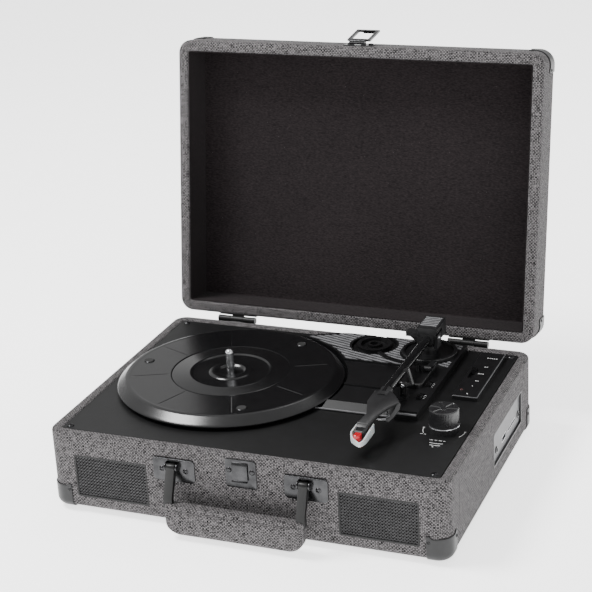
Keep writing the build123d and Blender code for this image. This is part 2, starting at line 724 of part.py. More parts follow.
def make_headshell(back):
    """The headshell with its finger lift, and the cartridge, stylus and stylus guard under it."""
    x, z = pivot_x, pivot_z
    top = z + 2.5
    nose_x, nose_half = x + 2.5, 5.8
    nose_y = stylus_y + 8
    outline = make_face(Polyline([
        (x - 9, back), (x + 6, back), (x + 6, back - 12), (x + 11, back - 20), (nose_x + nose_half + 1, back - 30),
        (nose_x + nose_half, nose_y), (nose_x - nose_half, nose_y), (x - 11, back - 28), (x - 11, back - 8),
    ], close=True))
    shell = extrude(Pos(0, 0, top - 3) * outline, amount=3)
    shell += block(x - 6, x + 6, back - 14, back, z - 5, top - 2)
    shell -= rod(tube_radius, (x, back - 6, z), 20, (0, 1, 0))
    shell += yz_prism(
        [(back - 20, top - 0.6), (back - 34, top - 5.5), (back - 42, top - 6.5), (back - 42, top - 8),
         (back - 31, top - 8.5), (back - 20, top - 3)],
        x + 11, x + 13,
    )
    shell += block(x + 8, x + 13, back - 21, back - 16, top - 3, top - 0.6)
    keep("headshell", shell)

    body_low = stylus_tip_z + 2.5
    body_high = top - 3
    body = block(nose_x - 5, nose_x + 5, stylus_y - 6, stylus_y + 22, body_low, body_high)
    body += block(nose_x - 3.6, nose_x + 3.6, stylus_y - 12, stylus_y + 8, body_low + 1, body_high + 1.5) - \
        block(nose_x - 9, nose_x + 9, nose_y, stylus_y + 40, body_high, body_high + 9)
    keep("cartridge", body)
    stylus = block(nose_x - 2.2, nose_x + 2.2, stylus_y - 9, stylus_y + 14, body_low - 1.2, body_low)
    needle = Cone(0.6, 0.15, body_low - 1.2 - stylus_tip_z)
    stylus += Pos(nose_x, stylus_y, (body_low - 1.2 + stylus_tip_z) / 2) * Rot(180, 0, 0) * needle
    keep("stylus", stylus)

    guard_low = stylus_tip_z - 0.9
    gap = moving_gap
    outer_half = 5 + gap + 1.6
    guard_front = stylus_y - 15
    guard_back = stylus_y + 14
    guard_high = body_high - 0.5
    guard = block(
        nose_x - outer_half, nose_x + outer_half, guard_front, guard_back, guard_low, guard_high
    )
    guard = chamfer(guard.edges().filter_by(Axis.Z).group_by(Axis.Y)[0], length=3.0)
    guard -= block(
        nose_x - 5 - gap, nose_x + 5 + gap, stylus_y - 12 - gap, guard_back, guard_low + 0.5, guard_high
    )
    keep("stylus_guard", guard)


def make_lift():
    """The cue lever on the lift housing and the curved bar that it raises under the arm."""
    x, y = pivot_x, pivot_y
    bar_top = pivot_z - tube_radius - moving_gap
    bar_low = bar_top - 2.0
    ring = tube(
        lift_bar_radius + lift_bar_width / 2, lift_bar_radius - lift_bar_width / 2,
        (x, y, bar_low), bar_top - bar_low,
    )
    far = 2 * lift_bar_radius
    wedge = make_face(Polyline([
        (x, y), (x + far * math.sin(math.radians(8)), y - far * math.cos(math.radians(8))),
        (x - far * 0.35, y - far * 1.1), (x - far * math.sin(math.radians(47)), y - far * math.cos(math.radians(47))),
    ], close=True))
    bar = ring & extrude(Pos(0, 0, bar_low) * wedge, amount=bar_top - bar_low)
    stem_low = plate_top + 1
    bar += rod(2.0, (x + 5, y - lift_bar_radius, stem_low), bar_low - stem_low + 0.5)
    keep("lift_bar", bar)

    hub_x, hub_y, hub_z = cue_lever_place()
    lever = rod(2.5, (hub_x, hub_y, hub_z), 6, (1, 0, 0))
    lever += block(hub_x + 1, hub_x + 6, hub_y, hub_y + 16, hub_z - 0.9, hub_z + 0.9)
    lever -= rod(1.2 + running_gap, (hub_x, hub_y, hub_z), 6, (1, 0, 0))
    keep("cue_lever", lever)


def make_rest():
    """The arm rest: a shallow saddle under the tube, an outer stop and the locking clip."""
    x, y = pivot_x, pivot_y - rest_from_pivot
    tube_low = pivot_z - tube_radius
    saddle_top = tube_low - fit_gap
    rest = block(x - 9, x + 11, y - 4, y + 4, deck_top, deck_top + 3)
    rest += block(x - 9, x + tube_radius + 1, y - 3, y + 3, deck_top, saddle_top)
    pin_x, pin_z = x + tube_radius + 3.5, pivot_z - 3
    knuckle = 2 * clip_pin_radius
    rest += block(pin_x - knuckle, pin_x + knuckle, y + 1, y + 3, deck_top, pin_z)
    rest += rod(knuckle, (pin_x, y + 1, pin_z), 2.0, (0, 1, 0))
    rest += rod(clip_pin_radius, (pin_x, y - 3, pin_z), 5.0, (0, 1, 0))
    keep("arm_rest", rest)

    front, back = y - 3, y + 1 - fit_gap
    bar_low = pivot_z + tube_radius + 0.6
    bar_high = bar_low + clip_bar
    hook_x = x - tube_radius - 0.6
    clip = rod(knuckle, (pin_x, front, pin_z), back - front, (0, 1, 0))
    clip += block(pin_x - clip_bar / 2, pin_x + clip_bar / 2, front, back, pin_z, bar_high)
    clip += block(hook_x - clip_bar, pin_x + clip_bar / 2, front, back, bar_low, bar_high)
    clip += block(hook_x - clip_bar, hook_x, front, back, pivot_z + 2, bar_high)
    clip -= rod(clip_pin_radius + running_gap, (pin_x, front, pin_z), back - front, (0, 1, 0))
    keep("arm_rest_clip", clip.rotate(Axis((pin_x, y, pin_z), (0, 1, 0)), clip_open_lean))


# ---------------------------------------------------------------- front fittings
def make_speakers():
    """Two small speakers behind the front panel and their grilles."""
    grilles, drivers = [], []
    back = -inner_y
    for x in (-grille_x, grille_x):
        grilles.append(front_slab(
            grille_width, grille_height, 2, x, grille_z, front_y, front_y + grille_thickness
        ))
        driver = front_slab(grille_width + 4, grille_height + 6, 3, x, grille_z, back, back + 2)
        driver += rod(15, (x, back + 1, grille_z), 16, (0, 1, 0))
        driver += rod(18, (x, back + 15, grille_z), 10, (0, 1, 0))
        drivers.append(driver)
    keep("speaker_grilles", *grilles)
    keep("speakers", *drivers)


def make_handle():
    """Two brackets on the front panel and the fabric-covered grip that hangs from them."""
    brackets, arms = [], []
    plate_front = front_y - bracket_thickness
    pin_y = front_y - handle_pin_out
    bracket_z = handle_pin_z - 4.5
    slot = handle_arm_width / 2 + fit_gap
    for side in (-1, 1):
        x = side * bracket_x
        bracket = front_slab(bracket_width, bracket_height, 2, x, bracket_z, plate_front, front_y)
        for ear_x in (x - slot - 1.5, x + slot):
            bracket += block(ear_x, ear_x + 1.5, pin_y - 3, plate_front, handle_pin_z - 4, handle_pin_z + 4)
        bracket += rod(handle_pin_radius, (x - slot - 1.5, pin_y, handle_pin_z), 2 * slot + 3, (1, 0, 0))
        bracket += block(
            x - bracket_width / 2 + 1, x + bracket_width / 2 - 1, plate_front - 3, plate_front,
            bracket_z + bracket_height / 2 - 1.2, bracket_z + bracket_height / 2,
        )
        brackets.append(bracket)
        arms.append(handle_arm(x, pin_y))
    keep("handle_brackets", *brackets)
    keep("handle_arms", *arms)

    grip_y = front_y - grip_out
    grip = front_slab(
        2 * grip_half_length, grip_top_z - grip_bottom_z, grip_corner_radius, 0,
        (grip_top_z + grip_bottom_z) / 2, grip_y - grip_thickness / 2, grip_y + grip_thickness / 2,
    )
    grip += block(
        -grip_half_length, grip_half_length, grip_y - grip_thickness / 2, grip_y + grip_thickness / 2,
        grip_top_z - grip_corner_radius - 1, grip_top_z,
    )
    grip = fillet(grip.edges().group_by(Axis.Y)[0], radius=4.0)
    for side in (-1, 1):
        x = side * bracket_x
        grip -= block(
            x - handle_arm_width / 2, x + handle_arm_width / 2,
            grip_y - handle_arm_thickness / 2, grip_y + handle_arm_thickness / 2,
            grip_top_z - 8, grip_top_z,
        )
    keep("handle_grip", grip)


def handle_arm(x, pin_y):
    """One flat strap from the bracket's pin down and out to the grip."""
    grip_y = front_y - grip_out
    half = handle_arm_thickness / 2
    left = x - handle_arm_width / 2
    lean_low = grip_top_z + 3
    arm = yz_prism(
        [(pin_y - half, handle_pin_z), (grip_y - half, lean_low), (grip_y - half, grip_top_z - 8),
         (grip_y + half, grip_top_z - 8), (grip_y + half, lean_low), (pin_y + half, handle_pin_z)],
        left, left + handle_arm_width,
    )
    arm += rod(handle_pin_radius + 1.9, (left, pin_y, handle_pin_z), handle_arm_width, (1, 0, 0))
    bore = handle_pin_radius + running_gap
    return arm - rod(bore, (left, pin_y, handle_pin_z), handle_arm_width, (1, 0, 0))


def make_latch():
    """The keeper on the base and the hasp, barrel plate and pin on the lid."""
    face = front_y - bracket_thickness
    keeper_z = keeper_top_z - keeper_height / 2
    keeper = front_slab(keeper_width, keeper_height, 2, keeper_x, keeper_z, face, front_y)
    tongue_half = tongue_half_width
    tongue_low = keeper_top_z - tongue_drop
    keeper += block(
        keeper_x - tongue_half, keeper_x + tongue_half, face - 2.2, face, keeper_top_z - 6, keeper_top_z - 3
    )
    keeper += block(
        keeper_x - tongue_half, keeper_x + tongue_half, face - 2.2, face - 1, tongue_low, keeper_top_z - 3
    )
    keeper += block(
        keeper_x - tongue_half, keeper_x + tongue_half, face - 4, face - 1, tongue_low, tongue_low + 1.2
    )
    keep("latch_keeper", keeper)

    axis_y = front_y - latch_axis_out
    axis_z = lid_bottom + latch_axis_above_rim
    barrel = 7.5
    plate = front_slab(27, 14, 1.5, keeper_x, axis_z + 5.5, front_y - 1.2, front_y)
    for x0 in (keeper_x - barrel, keeper_x + barrel - 4):
        plate += rod(latch_barrel_radius, (x0, axis_y, axis_z), 4, (1, 0, 0))
        plate += block(x0, x0 + 4, axis_y, front_y, axis_z - 1.2, axis_z + 1.2)
    plate += rod(latch_pin_radius, (keeper_x - barrel, axis_y, axis_z), 2 * barrel, (1, 0, 0))
    for dx in (-10, 10):
        plate += domed_screw(keeper_x + dx, axis_z + 8, front_y - 1.2, -1)
    keep("latch_plate", opened(plate))

    tongue_clear = axis_z - tongue_low + 2 * fit_gap
    half = hasp_width / 2
    hasp = block(
        keeper_x - half, keeper_x + half, axis_y - hasp_thickness / 2, axis_y + hasp_thickness / 2,
        axis_z - tongue_clear - hasp_bar, axis_z - 3.2,
    )
    hasp -= block(
        keeper_x - half + hasp_bar, keeper_x + half - hasp_bar, axis_y - 3, axis_y + 3,
        axis_z - tongue_clear, axis_z - 6,
    )
    knuckle = barrel - 4 - fit_gap
    hasp += block(
        keeper_x - knuckle, keeper_x + knuckle, axis_y - hasp_thickness / 2, axis_y + hasp_thickness / 2,
        axis_z - 4, axis_z,
    )
    hasp += rod(latch_barrel_radius, (keeper_x - knuckle, axis_y, axis_z), 2 * knuckle, (1, 0, 0))
    bore = latch_pin_radius + running_gap
    hasp -= rod(bore, (keeper_x - knuckle, axis_y, axis_z), 2 * knuckle, (1, 0, 0))
    hasp_low = axis_z - tongue_clear - hasp_bar
    hasp += block(keeper_x - 5, keeper_x + 5, axis_y - 2.5, axis_y, hasp_low - 1.2, hasp_low + 1)
    hasp_axis = Axis((0, axis_y, axis_z), (-1, 0, 0))
    keep("latch_hasp", opened(hasp.rotate(hasp_axis, hasp_rest_angle)))


def make_case_screws():
    """The domed screws and rivets that hold the hinges, the handle brackets and the keeper."""
    fasteners = []
    leaf_middle = hinge_z - hinge_barrel_radius - hinge_leaf_height / 2
    for centre in (-hinge_x, hinge_x):
        for offset in (-hinge_width / 3, hinge_width / 3):
            x = centre + offset
            fasteners.append(domed_screw(x, leaf_middle, rear_y + hinge_leaf_thickness, 1))
    plate_front = front_y - bracket_thickness
    for centre in (-bracket_x, bracket_x):
        for offset in (-10.75, 10.75):
            fasteners.append(domed_screw(centre + offset, handle_pin_z - 4.5, plate_front, -1))
    for offset in (-10.2, 10.2):
        fasteners.append(domed_screw(keeper_x + offset, keeper_top_z - 10, plate_front, -1))
    keep("case_screws", *fasteners)


# ---------------------------------------------------------------- connectors and electronics
def make_connectors():
    """The side and rear connector plates with their sockets, and the circuit board."""
    outer = side_x - side_plate_recess
    inner = outer - side_plate_thickness
    plate = side_slab(
        side_plate_length, side_plate_height, 2, side_plate_y, side_plate_z, inner, outer
    )
    headphone_y = side_plate_y - side_plate_length / 2 + 14
    aux_y = side_plate_y + side_plate_length / 2 - 6
    usb_y = headphone_y + 25
    card_y = headphone_y + 50
    jack_z = side_plate_z - 5
    for y in (headphone_y, aux_y):
        plate -= rod(3.0, (inner, y, jack_z), side_plate_thickness, (1, 0, 0))
    plate -= block(inner, outer, usb_y - 6.5, usb_y + 6.5, jack_z - 2.75, jack_z + 2.75)
    plate -= block(inner, outer, card_y - 12.3, card_y + 12.3, jack_z - 1.4, jack_z + 1.4)
    keep("side_connector_plate", plate)
    jacks = []
    for y in (headphone_y, aux_y):
        jack = block(inner - 12, inner, y - 4, y + 4, jack_z - 4, jack_z + 4)
        jack += rod(3.0, (inner, y, jack_z), side_plate_thickness, (1, 0, 0))
        jack -= rod(jack_bore_radius, (inner - 11, y, jack_z), 20, (1, 0, 0))
        jacks.append(jack)
    keep("audio_jacks", *jacks)
    usb = block(inner - 13, outer, usb_y - 6.5, usb_y + 6.5, jack_z - 2.75, jack_z + 2.75)
    usb -= block(inner - 12, outer, usb_y - 6, usb_y + 6, jack_z - 2.25, jack_z + 2.25)
    usb += block(inner - 12.5, outer - 2, usb_y - 5, usb_y + 5, jack_z + 0.2, jack_z + 1.6)
    card = block(inner - 18, outer, card_y - 12.3, card_y + 12.3, jack_z - 1.4, jack_z + 1.4)
    card -= block(inner - 17, outer, card_y - 11.9, card_y + 11.9, jack_z - 1.0, jack_z + 1.0)
    keep("media_sockets", usb, card)
    board_top = jack_z - 4
    board_right = inner_x - 1
    board = block(
        board_right - 50, board_right, side_plate_y - 44, side_plate_y + 44, board_top - 1.6, board_top
    )
    for y in (side_plate_y - 38, side_plate_y + 38):
        for x in (board_right - 44, board_right - 6):
            board += rod(3, (x, y, floor_top), board_top - floor_top)
    board += block(board_right - 44, board_right - 30, side_plate_y - 8, side_plate_y + 8, board_top, board_top + 3)
    keep("circuit_board", board)

    rear = front_slab(rear_plate_length, rear_plate_height, 2, 0, rear_plate_z, rear_y, rear_y + 1.5)
    back = rear_y + 1.5
    rca_x = (-30, -14)
    dc_x = 28
    rear -= rod(5.0, (dc_x, rear_y, rear_plate_z), 2, (0, 1, 0))
    for x in rca_x:
        rear -= rod(rca_body_radius, (x, rear_y, rear_plate_z), 2, (0, 1, 0))
    keep("rear_connector_plate", rear)
    sockets = []
    for x in rca_x:
        socket = rod(rca_body_radius, (x, inner_y, rear_plate_z), back - inner_y, (0, 1, 0))
        socket += rod(rca_pin_radius, (x, back, rear_plate_z), rca_pin_length, (0, 1, 0))
        socket -= rod(1.6, (x, back - 4, rear_plate_z), 20, (0, 1, 0))
        sockets.append(socket)
    keep("line_out_sockets", *sockets)
    inlet = rod(5.0, (dc_x, rear_y, rear_plate_z), 1.5, (0, 1, 0))
    inlet += block(dc_x - 6, dc_x + 6, rear_y - 12, rear_y, rear_plate_z - 6, rear_plate_z + 6)
    inlet -= rod(dc_bore_radius, (dc_x, back - 9, rear_plate_z), 20, (0, 1, 0))
    inlet += rod(1.0, (dc_x, back - 9.5, rear_plate_z), 8, (0, 1, 0))
    keep("power_inlet", inlet)


os.makedirs("parts", exist_ok=True)
make_base()
make_plate()
make_lid()
make_hinges()
make_platter()
make_drive()
make_deck()
make_controls()
make_tonearm()
make_speakers()
make_handle()
make_latch()
make_case_screws()
make_connectors()
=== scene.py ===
# %% [markdown]
# A suitcase record player, finished in Blender around its CAD frame.
# The frame brings every solid of the player, in metres, on bodies that already move.
# Each step below either gives a CAD piece the surface of the real one, or puts a finer
# piece in its place and says which solid it stands for.

# %% Load the frame
import json

import bmesh
import bpy
import numpy as np
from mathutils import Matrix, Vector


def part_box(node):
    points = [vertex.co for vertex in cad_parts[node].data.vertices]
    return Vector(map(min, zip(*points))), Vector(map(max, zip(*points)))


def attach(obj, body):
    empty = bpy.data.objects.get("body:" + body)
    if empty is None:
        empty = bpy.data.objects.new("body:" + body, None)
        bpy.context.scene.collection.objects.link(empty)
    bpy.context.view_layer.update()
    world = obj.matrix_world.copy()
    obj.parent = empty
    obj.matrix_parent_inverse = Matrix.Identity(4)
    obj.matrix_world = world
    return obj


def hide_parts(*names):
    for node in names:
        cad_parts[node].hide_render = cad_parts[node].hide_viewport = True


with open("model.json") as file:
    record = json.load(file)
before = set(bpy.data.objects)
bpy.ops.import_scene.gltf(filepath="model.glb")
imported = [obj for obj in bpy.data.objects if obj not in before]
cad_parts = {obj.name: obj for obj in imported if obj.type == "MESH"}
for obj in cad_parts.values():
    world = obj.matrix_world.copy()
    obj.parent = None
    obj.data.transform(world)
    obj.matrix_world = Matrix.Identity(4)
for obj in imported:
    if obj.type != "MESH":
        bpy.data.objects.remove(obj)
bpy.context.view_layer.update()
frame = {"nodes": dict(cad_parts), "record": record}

# %% [markdown]
# The camera looks down on the player from its right front, through a long lens, with a
# little roll. Its place is worked out from an aim point, two
# angles and a distance, so that each can be changed alone.

# %% Camera
MM = 0.001


def look_from(azimuth, elevation, roll, distance, aim):
    """A 4 x 4 placement: the camera sits at aim plus distance along the direction given by the
    two angles, looks back at aim, and turns by roll about that direction."""
    az, el, turn = np.radians([azimuth, elevation, roll])
    back = np.array([np.sin(az) * np.cos(el), -np.cos(az) * np.cos(el), np.sin(el)])
    right = np.cross(-back, [0, 0, 1])
    right /= np.linalg.norm(right)
    up = np.cross(right, -back)
    placement = np.eye(4)
    placement[:3, 0] = right * np.cos(turn) + up * np.sin(turn)
    placement[:3, 1] = up * np.cos(turn) - right * np.sin(turn)
    placement[:3, 2] = back
    placement[:3, 3] = np.array(aim) + back * distance
    return placement


camera_data = bpy.data.cameras.new("camera")
camera_data.sensor_width = 36.0
camera_data.lens = 100.34
camera = bpy.data.objects.new("camera", camera_data)
bpy.context.scene.collection.objects.link(camera)
view_from = look_from(azimuth=22.71, elevation=21.53, roll=-3.2, distance=1.39982,
                      aim=(0.00382, 0, 0.1618))
camera.matrix_world = view_from.T.tolist()
bpy.context.scene.camera = camera
print("camera at", [round(v, 4) for v in camera.matrix_world.translation])

# %% [markdown]
# A pale sheet of paper stands in for the studio. A soft light overhead and to the left
# gives the long gradients on black plastic, and weaker ones fill from the right and from
# behind. White light from all round keeps the shadows open.

# %% Floor and lights
floor_mesh = bpy.data.meshes.new("floor")
FLOOR_REACH = 6
floor_corners = [(x * FLOOR_REACH, y * FLOOR_REACH, 0) for x, y in ((-1, -1), (1, -1), (1, 1), (-1, 1))]
floor_mesh.from_pydata(floor_corners, [], [(0, 1, 2, 3)])
floor = bpy.data.objects.new("floor", floor_mesh)
bpy.context.scene.collection.objects.link(floor)


def soft_light(name, place, aim, size, power):
    """A square area light at place that faces aim; sizes in metres, power in watts."""
    data = bpy.data.lights.new(name, "AREA")
    data.energy = power
    data.size = size
    light = bpy.data.objects.new(name, data)
    bpy.context.scene.collection.objects.link(light)
    back = np.array(place, float) - np.array(aim, float)
    back /= np.linalg.norm(back)
    right = np.cross([0, 1, 0.01], back)
    right /= np.linalg.norm(right)
    placement = np.eye(4)
    placement[:3, 0], placement[:3, 1], placement[:3, 2] = right, np.cross(back, right), back
    placement[:3, 3] = place
    light.matrix_world = placement.T.tolist()


LIGHT_AIM = (0, 0, 0.1)
soft_light("key_light", (-0.8, -0.3, 1.5), LIGHT_AIM, size=0.55, power=38)
soft_light("fill_light", (1.5, -1.3, 0.9), LIGHT_AIM, size=1.2, power=9)
soft_light("back_light", (0.3, 1.4, 1.6), LIGHT_AIM, size=1.0, power=10)
world = bpy.data.worlds.new("studio")
world.use_nodes = True
world.node_tree.nodes["Background"].inputs["Color"].default_value = (1, 1, 1, 1)
world.node_tree.nodes["Background"].inputs["Strength"].default_value = 0.85
bpy.context.scene.world = world
print("lit by", [light.name for light in bpy.data.lights])

# %% [markdown]
# Materials are built from nodes. Colours are written as sRGB hex, as a paint chart gives
# them, and turned to the linear values that Blender wants. One function adds a node.

# %% Material tools


def linear(code, alpha=1.0):
    """An sRGB hex colour as linear light: below 0.04045 divide by 12.92, above it raise
    (value + 0.055) / 1.055 to the power 2.4."""
    value = np.array([int(code[i:i + 2], 16) for i in (1, 3, 5)]) / 255
    lit = np.where(value <= 0.04045, value / 12.92, ((value + 0.055) / 1.055) ** 2.4)
    return (*lit.tolist(), alpha)


def add_node(tree, kind, inputs=None, **settings):
    """Adds one node; settings are its properties, inputs its socket values or links."""
    made = tree.nodes.new(kind)
    for name, value in settings.items():
        setattr(made, name, value)
    for key, value in (inputs or {}).items():
        if isinstance(value, bpy.types.NodeSocket):
            tree.links.new(value, made.inputs[key])
        else:
            made.inputs[key].default_value = value
    return made


def start_material(name, **sockets):
    """A new material: its tree, its Principled shader with those socket values, and a
    Texture Coordinate node."""
    made = bpy.data.materials.new(name)
    made.use_nodes = True
    tree = made.node_tree
    shader = tree.nodes["Principled BSDF"]
    for key, value in sockets.items():
        shader.inputs[key.replace("_", " ")].default_value = value
    return made, tree, shader, add_node(tree, "ShaderNodeTexCoord")


def ramp_between(tree, factor, low, high, start=0.3, end=0.7):
    """A two-colour ramp from low, where the factor is start, to high, where it is end."""
    share = add_node(tree, "ShaderNodeMapRange", {"Value": factor, "From Min": start, "From Max": end})
    made = add_node(tree, "ShaderNodeValToRGB", {"Fac": share.outputs["Result"]})
    made.color_ramp.elements[0].color = linear(low)
    made.color_ramp.elements[1].color = linear(high)
    return made.outputs["Color"]


def grain_material(name, low, high, grain_mm, bump, roughness, spread=0.08, **sockets):
    """A moulded, sprayed or cast surface: colour wanders from low to high over patches
    fifteen grains wide, and a noise of grain_mm makes the bump and spreads the roughness."""
    made, tree, shader, where = start_material(name, **sockets)
    place = where.outputs["Object"]
    grain = add_node(tree, "ShaderNodeTexNoise",
                     {"Vector": place, "Scale": 1 / (grain_mm * MM), "Detail": 3.0})
    patch = add_node(tree, "ShaderNodeTexNoise",
                     {"Vector": place, "Scale": 1 / (15 * grain_mm * MM), "Detail": 4.0})
    tree.links.new(ramp_between(tree, patch.outputs["Fac"], low, high), shader.inputs["Base Color"])
    gloss = add_node(tree, "ShaderNodeMapRange",
                     {"Value": grain.outputs["Fac"], "To Min": roughness - spread,
                      "To Max": roughness + spread})
    tree.links.new(gloss.outputs["Result"], shader.inputs["Roughness"])
    height = add_node(tree, "ShaderNodeBump",
                      {"Height": grain.outputs["Fac"], "Strength": bump, "Distance": grain_mm * MM * 0.2})
    tree.links.new(height.outputs["Normal"], shader.inputs["Normal"])
    return made


print("middle grey in linear light", round(linear("#808080")[0], 3))

# %% [markdown]
# The case is covered with heathered linen cloth: dark and pale slubby threads in plain
# weave, glued over wood. From a step away the threads read as a grey fleck. The cloth
# follows the surface, so the pattern reads the piece's own UV map, which is in metres.
# Thread spacing is about 1 mm, drawn at 1.45 mm so that it shows.

# %% Linen cloth


def linen_cloth(name, thread_mm, dark, pale):
    """Plain weave on UVs in metres. A checker of thread_mm says which thread is on top; each
    thread's shade is a noise stretched along it, the warp paler than the weft; its height is a
    sine hump across it. Fine fibres and slow knots, two more noises, make it uneven."""
    made, tree, shader, where = start_material(name, Roughness=0.92, Sheen_Weight=0.05,
                                               Specular_IOR_Level=0.15)
    per_thread = 1 / (thread_mm * MM)
    cloth = add_node(tree, "ShaderNodeMapping", {"Vector": where.outputs["UV"],
                                                 "Scale": (per_thread, per_thread, 1)})
    threads = cloth.outputs["Vector"]
    over = add_node(tree, "ShaderNodeTexChecker", {"Vector": threads, "Scale": 1.0})
    shades, humps = [], []
    for along, across in (((0.22, 1.7, 1), "Y"), ((1.7, 0.22, 1), "X")):
        run = add_node(tree, "ShaderNodeMapping", {"Vector": threads, "Scale": along})
        slub = add_node(tree, "ShaderNodeTexNoise",
                        {"Vector": run.outputs["Vector"], "Scale": 1.0, "Detail": 1.0})
        shades.append(slub.outputs["Fac"])
        axes = add_node(tree, "ShaderNodeSeparateXYZ", {"Vector": threads})
        turn = add_node(tree, "ShaderNodeMath", {0: axes.outputs[across], 1: np.pi},
                        operation="MULTIPLY")
        wave = add_node(tree, "ShaderNodeMath", {0: turn.outputs[0]}, operation="SINE")
        humps.append(add_node(tree, "ShaderNodeMath", {0: wave.outputs[0]}, operation="ABSOLUTE").outputs[0])
    warp = add_node(tree, "ShaderNodeMath", {0: shades[0], 1: 0.09}, operation="ADD")
    weft = add_node(tree, "ShaderNodeMath", {0: shades[1], 1: 0.09}, operation="SUBTRACT")
    shade = add_node(tree, "ShaderNodeMix", {"Factor": over.outputs["Fac"], "A": warp.outputs[0],
                                             "B": weft.outputs[0]})
    hump = add_node(tree, "ShaderNodeMix", {"Factor": over.outputs["Fac"], "A": humps[0], "B": humps[1]})
    fibre = add_node(tree, "ShaderNodeTexNoise", {"Vector": threads, "Scale": 2.2, "Detail": 2.0})
    mixed = add_node(tree, "ShaderNodeMath", {0: fibre.outputs["Fac"], 1: 0.5, 2: shade.outputs["Result"]},
                     operation="MULTIPLY_ADD")
    knots = add_node(tree, "ShaderNodeTexNoise", {"Vector": threads, "Scale": 0.4, "Detail": 1.0})
    uneven = add_node(tree, "ShaderNodeMath", {0: knots.outputs["Fac"], 1: 0.3, 2: mixed.outputs[0]},
                      operation="MULTIPLY_ADD")
    gap = add_node(tree, "ShaderNodeMath", {0: hump.outputs["Result"], 1: 0.3, 2: uneven.outputs[0]},
                   operation="MULTIPLY_ADD")
    tree.links.new(ramp_between(tree, gap.outputs[0], dark, pale, 0.95, 1.27), shader.inputs["Base Color"])
    height = add_node(tree, "ShaderNodeMath", {0: hump.outputs["Result"], 1: 0.6, 2: mixed.outputs[0]},
                      operation="MULTIPLY_ADD")
    bump = add_node(tree, "ShaderNodeBump",
                    {"Height": height.outputs[0], "Strength": 0.75, "Distance": 0.00035})
    tree.links.new(bump.outputs["Normal"], shader.inputs["Normal"])
    return made


linen = linen_cloth("heathered_linen_woven", 1.45, "#070707", "#716e6f")
print(linen.name, "has", len(linen.node_tree.nodes), "nodes")

# %% [markdown]
# Inside, the lid is lined with a short-napped black cloth with a brown cast. It hardly
# shines at all, and fine nap and a little lint break up the flat black.

# %% Lining cloth


def napped_lining():
    """A fine noise of 0.9 mm nap, combed along X, over slow 110 mm shading, with rare lint."""
    made, tree, shader, where = start_material("black_cotton_napped", Roughness=0.97, Sheen_Weight=0.03,
                                               Sheen_Roughness=0.6, Specular_IOR_Level=0.1)
    place = where.outputs["Object"]
    combed = add_node(tree, "ShaderNodeMapping", {"Vector": place, "Scale": (0.35, 1.0, 1.0)})
    nap = add_node(tree, "ShaderNodeTexNoise",
                   {"Vector": combed.outputs["Vector"], "Scale": 1100.0, "Detail": 2.0})
    slow = add_node(tree, "ShaderNodeTexNoise", {"Vector": place, "Scale": 9.0, "Detail": 5.0})
    both = add_node(tree, "ShaderNodeMath", {0: slow.outputs["Fac"], 1: 0.35, 2: nap.outputs["Fac"]},
                    operation="MULTIPLY_ADD")
    cloth = ramp_between(tree, both.outputs[0], "#110e0f", "#282324", 0.45, 0.95)
    dots = add_node(tree, "ShaderNodeTexVoronoi", {"Vector": place, "Scale": 130.0})
    lint = add_node(tree, "ShaderNodeMath", {0: dots.outputs["Distance"], 1: 0.035}, operation="LESS_THAN")
    colour = add_node(tree, "ShaderNodeMix", {0: lint.outputs[0], 6: cloth, 7: linear("#4a4546")},
                      data_type="RGBA")
    tree.links.new(colour.outputs[2], shader.inputs["Base Color"])
    bump = add_node(tree, "ShaderNodeBump",
                    {"Height": nap.outputs["Fac"], "Strength": 0.6, "Distance": 0.0004})
    tree.links.new(bump.outputs["Normal"], shader.inputs["Normal"])
    return made


lining_cloth = napped_lining()
print(lining_cloth.name, "has", len(lining_cloth.node_tree.nodes), "nodes")

# %% [markdown]
# The rest are moulded plastics, lacquered and plated metals, rubber and ink. Moulded ABS
# with a spark-eroded texture has a soft wide sheen. A polished mould gives mirror gloss.
# Lacquered steel is smooth with a faint orange peel, and plated steel keeps fine scratches.

# %% Plastics, metals, rubber and ink
abs_textured = grain_material("abs_spark_textured", "#080808", "#0e0e0f", 0.5, 0.35, 0.46,
                              Specular_IOR_Level=0.3)
abs_satin = grain_material("abs_satin_moulded", "#0b0b0c", "#121213", 0.35, 0.12, 0.33)
abs_gloss = grain_material("abs_polished", "#0e0e0f", "#161617", 0.9, 0.03, 0.2, 0.04)
strap_vinyl = grain_material("vinyl_strap_moulded", "#060606", "#0b0b0b", 0.5, 0.2, 0.42,
                             Specular_IOR_Level=0.3)
abs_knob = grain_material("abs_knob_polished", "#1a1a1b", "#242425", 0.9, 0.03, 0.24, 0.05)
abs_headshell = grain_material("abs_headshell_matt", "#161617", "#202021", 0.4, 0.15, 0.42)
abs_platter = grain_material("abs_platter_moulded", "#0a0a0b", "#101011", 0.5, 0.1, 0.24, 0.05)
abs_guard = grain_material("abs_guard_grey", "#141415", "#1c1c1d", 0.4, 0.08, 0.38,
                           Specular_IOR_Level=0.35)
lacquered_grey = grain_material("steel_lacquered_grey", "#48484a", "#545456", 0.8, 0.04, 0.42)
ribbed_grey = grain_material("abs_rib_grey", "#5f5f61", "#79797b", 0.5, 0.08, 0.42)
gunmetal = grain_material("zinc_gunmetal_plated", "#333334", "#434344", 0.5, 0.06, 0.24, 0.05, Metallic=1.0)
black_steel = grain_material("steel_black_lacquer", "#090909", "#101010", 0.6, 0.05, 0.45,
                             Specular_IOR_Level=0.3)
bright_steel = grain_material("steel_turned_bright", "#b9babd", "#d6d7d9", 0.3, 0.04, 0.2, 0.06, Metallic=1.0)
raw_brass = grain_material("brass_turned", "#a98445", "#c8a565", 0.3, 0.05, 0.3, 0.06, Metallic=1.0)
rubber = grain_material("rubber_moulded", "#131313", "#1d1d1d", 0.5, 0.2, 0.75)
